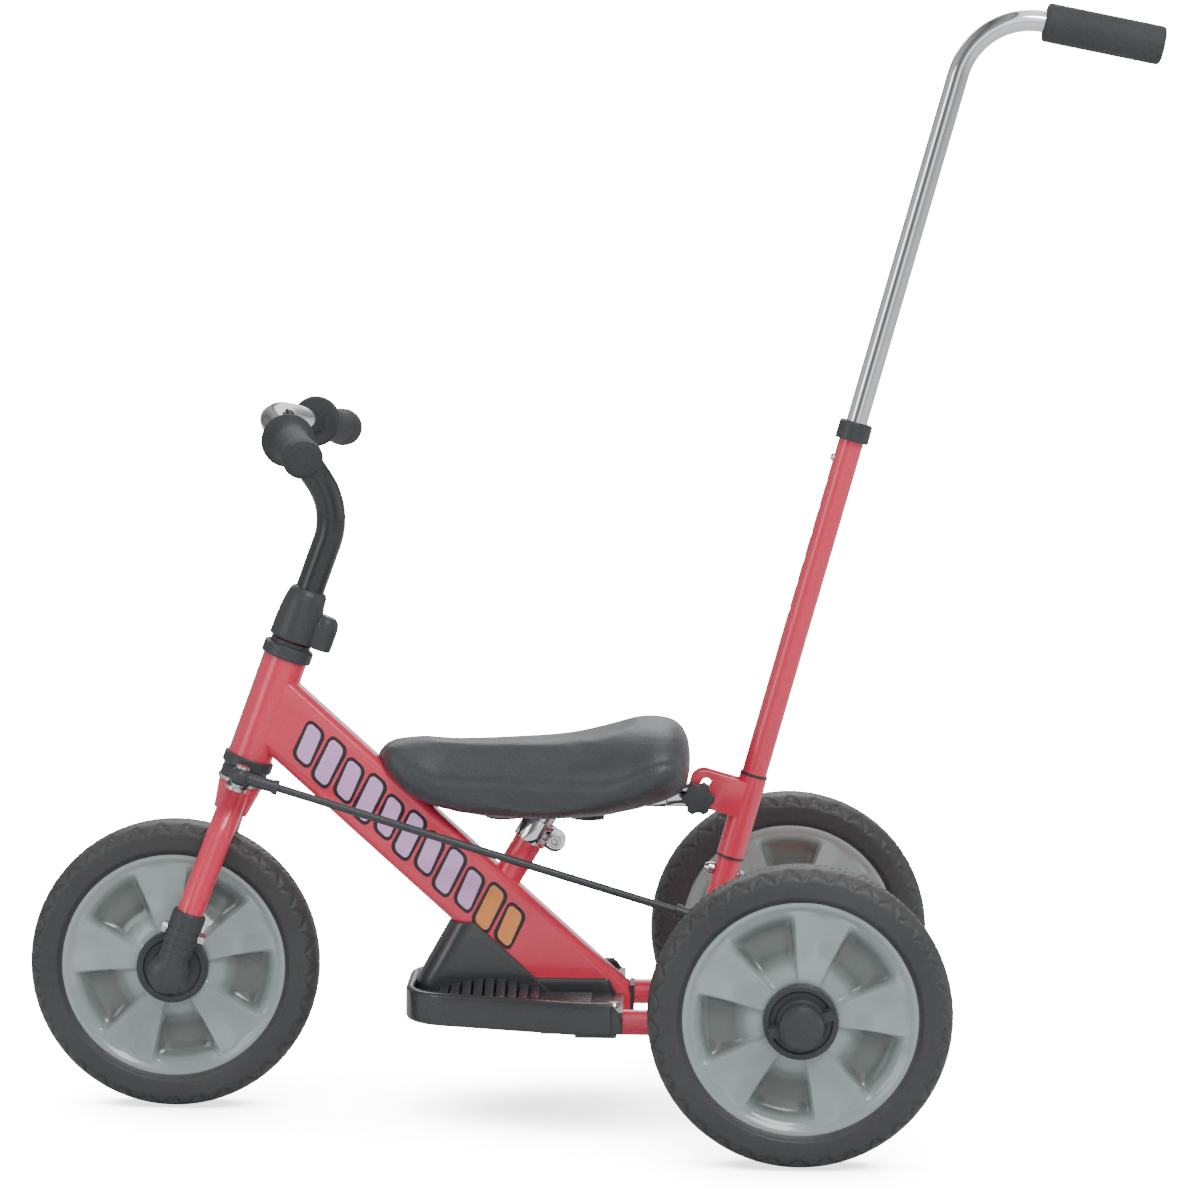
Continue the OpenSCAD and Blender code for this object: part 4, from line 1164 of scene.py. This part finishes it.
LILAC = ink("lilac ink", (0.86, 0.50, 0.88), (0.82, 0.46, 0.84))
ORANGE = ink("orange ink", (0.98, 0.36, 0.10), (0.92, 0.31, 0.08))
DARK = ink("dark ink", (0.018, 0.014, 0.020), (0.03, 0.024, 0.034))
LEAN = -9 * MM


def slanted_bar(name, centre, length, height, lean, side, lift, material):
    """A rounded parallelogram on the beam's side face, lift above the paint."""
    clear()
    bpy.ops.mesh.primitive_plane_add(size=1)
    piece = bpy.context.object
    piece.name = name
    for vertex in piece.data.vertices:
        along = vertex.co.x * length + vertex.co.y * lean
        vertex.co = Vector((centre + along, side * (BEAM_W / 2 + lift), vertex.co.y * height))
    only(piece)
    bpy.ops.object.mode_set(mode="EDIT")
    bpy.ops.mesh.select_all(action="SELECT")
    bpy.ops.mesh.bevel(offset=min(length, height) * 0.32, segments=5, affect="VERTICES")
    bpy.ops.mesh.extrude_region_move(TRANSFORM_OT_translate={"value": (0, -side * (lift - 0.00002), 0)})
    bpy.ops.object.mode_set(mode="OBJECT")
    outward(piece)
    settle(piece, beam_place())
    piece.data.materials.append(material)
    return piece


def beam_decals(side, name):
    shapes = []
    for index in range(11):
        centre = (32 + index * 20.5) * MM
        colour = ORANGE if index > 8 else LILAC
        tall = (31 if index % 2 else 26) * MM
        sizes = 18.5 * MM, tall + 5 * MM, LEAN
        shapes.append(slanted_bar("outline", centre, *sizes, side, 0.00012, DARK))
        shapes.append(slanted_bar("fill", centre, 13 * MM, tall, LEAN, side, 0.00020, colour))
    return join(name, shapes)


for side, name in ((-1, "left_beam_decal"), (1, "right_beam_decal")):
    decal = beam_decals(side, name)
    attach(decal, "frame")
print("decal faces", len(decal.data.polygons))

# %% [markdown]
# ## Light, floor and camera
# A pale floor runs back into a pale wall of light. Two broad soft lamps give the long highlights on
# the tubes, and a third from behind brightens the rim of every shape.

# %% floor
PAGE_WHITE = 22.0
clear()
bpy.ops.mesh.primitive_plane_add(size=14, location=(0, 2, 0))
floor = bpy.context.object
floor.name = "studio_floor"
floor_paint = bpy.data.materials.new("studio floor")
floor_paint.use_nodes = True
floor_tree = floor_paint.node_tree
floor_shader = floor_tree.nodes["Principled BSDF"]
floor_shader.inputs["Base Color"].default_value = (0.86, 0.86, 0.87, 1)
floor_shader.inputs["Roughness"].default_value = 0.6
# painted shadow: for camera rays the floor glows, and an ambient occlusion node dims that glow near the wheels and
# frame in place of a cast contact shadow
shade = add_node(floor_tree, "ShaderNodeAmbientOcclusion", samples=12)
shade.inputs["Distance"].default_value = 0.30
fade = add_node(floor_tree, "ShaderNodeMapRange")
fade.inputs["From Min"].default_value = 0.35
fade.inputs["From Max"].default_value = 0.93
fade.inputs["To Min"].default_value = 2.2
fade.inputs["To Max"].default_value = PAGE_WHITE
paper = add_node(floor_tree, "ShaderNodeEmission")
seen = add_node(floor_tree, "ShaderNodeLightPath")
pick = add_node(floor_tree, "ShaderNodeMixShader")
link = floor_tree.links.new
link(shade.outputs["AO"], fade.inputs["Value"])
link(fade.outputs["Result"], paper.inputs["Strength"])
link(seen.outputs["Is Camera Ray"], pick.inputs["Fac"])
link(floor_shader.outputs[0], pick.inputs[1])
link(paper.outputs[0], pick.inputs[2])
link(pick.outputs[0], floor_tree.nodes["Material Output"].inputs["Surface"])
floor.data.materials.append(floor_paint)

# %% soft lights
world = bpy.data.worlds.new("studio")
bpy.context.scene.world = world
world.use_nodes = True
sky = world.node_tree
room = sky.nodes["Background"]
room.inputs["Strength"].default_value = 1.45
page = add_node(sky, "ShaderNodeBackground")
page.inputs["Strength"].default_value = PAGE_WHITE
direct = add_node(sky, "ShaderNodeLightPath")
choose = add_node(sky, "ShaderNodeMixShader")
way = add_node(sky, "ShaderNodeTexCoord")
axes = add_node(sky, "ShaderNodeSeparateXYZ")
walls = add_node(sky, "ShaderNodeValToRGB")
# brightness of the room from the front of the tricycle round to its back
ROOM = [(0.0, 0.42), (0.3, 0.36), (0.43, 0.30), (0.455, 0.12), (0.48, 0.95), (0.57, 1.0)]
ROOM += [(0.68, 0.34), (0.86, 0.05), (1.0, 0.10)]
stops = walls.color_ramp.elements
for place, shade in ROOM:
    stop = stops.new(place) if 0 < place < 1 else stops[round(place)]
    stop.color = (shade, shade, shade * 1.02, 1)
spread = add_node(sky, "ShaderNodeMapRange")
spread.inputs["From Min"].default_value = -1
link = sky.links.new
link(way.outputs["Generated"], axes.inputs[0])
link(axes.outputs["X"], spread.inputs["Value"])
link(spread.outputs["Result"], walls.inputs["Fac"])
link(walls.outputs["Color"], room.inputs["Color"])
link(direct.outputs["Is Camera Ray"], choose.inputs["Fac"])
link(room.outputs[0], choose.inputs[1])
link(page.outputs[0], choose.inputs[2])
link(choose.outputs[0], sky.nodes["World Output"].inputs["Surface"])


def soft_box(name, place, target, size, power):
    lamp = bpy.data.lights.new(name, "AREA")
    lamp.shape = "RECTANGLE"
    lamp.size = size[0]
    lamp.size_y = size[1]
    lamp.energy = power
    holder = bpy.data.objects.new(name, lamp)
    holder.location = place
    holder.rotation_euler = (Vector(target) - Vector(place)).to_track_quat("-Z", "Y").to_euler()
    bpy.context.scene.collection.objects.link(holder)


soft_box("key", (1.0, -1.9, 2.4), (0, 0, 0.2), (1.2, 0.9), 38)
soft_box("fill", (-1.9, -1.5, 1.0), (0, 0, 0.3), (0.9, 1.3), 10)
soft_box("back", (-0.4, 2.2, 2.2), (0, 0, 0.3), (2.4, 0.8), 30)

# %% camera
CAMERA_BEHIND = -0.0892
CAMERA_AWAY = 3.168
CAMERA_HIGH = 0.7189
YAW = math.radians(-1.096)
PITCH = math.radians(5.915)
ROLL = math.radians(0.501)

look = Vector((math.sin(YAW) * math.cos(PITCH), math.cos(YAW) * math.cos(PITCH), -math.sin(PITCH)))
level = Vector((math.cos(YAW), -math.sin(YAW), 0))
above = level.cross(look)
right = math.cos(ROLL) * level + math.sin(ROLL) * above
upward = -math.sin(ROLL) * level + math.cos(ROLL) * above
camera_data = bpy.data.cameras.new("camera")
camera_data.lens = 126.63
camera_data.sensor_width = 36
camera = bpy.data.objects.new("camera", camera_data)
camera.matrix_world = Matrix.Translation((rear_x + CAMERA_BEHIND, -CAMERA_AWAY, CAMERA_HIGH)) @ (
    Matrix((right, upward, -look)).transposed().to_4x4()
)
bpy.context.scene.collection.objects.link(camera)
bpy.context.scene.camera = camera
print("camera at", [round(v, 3) for v in camera.matrix_world.translation])
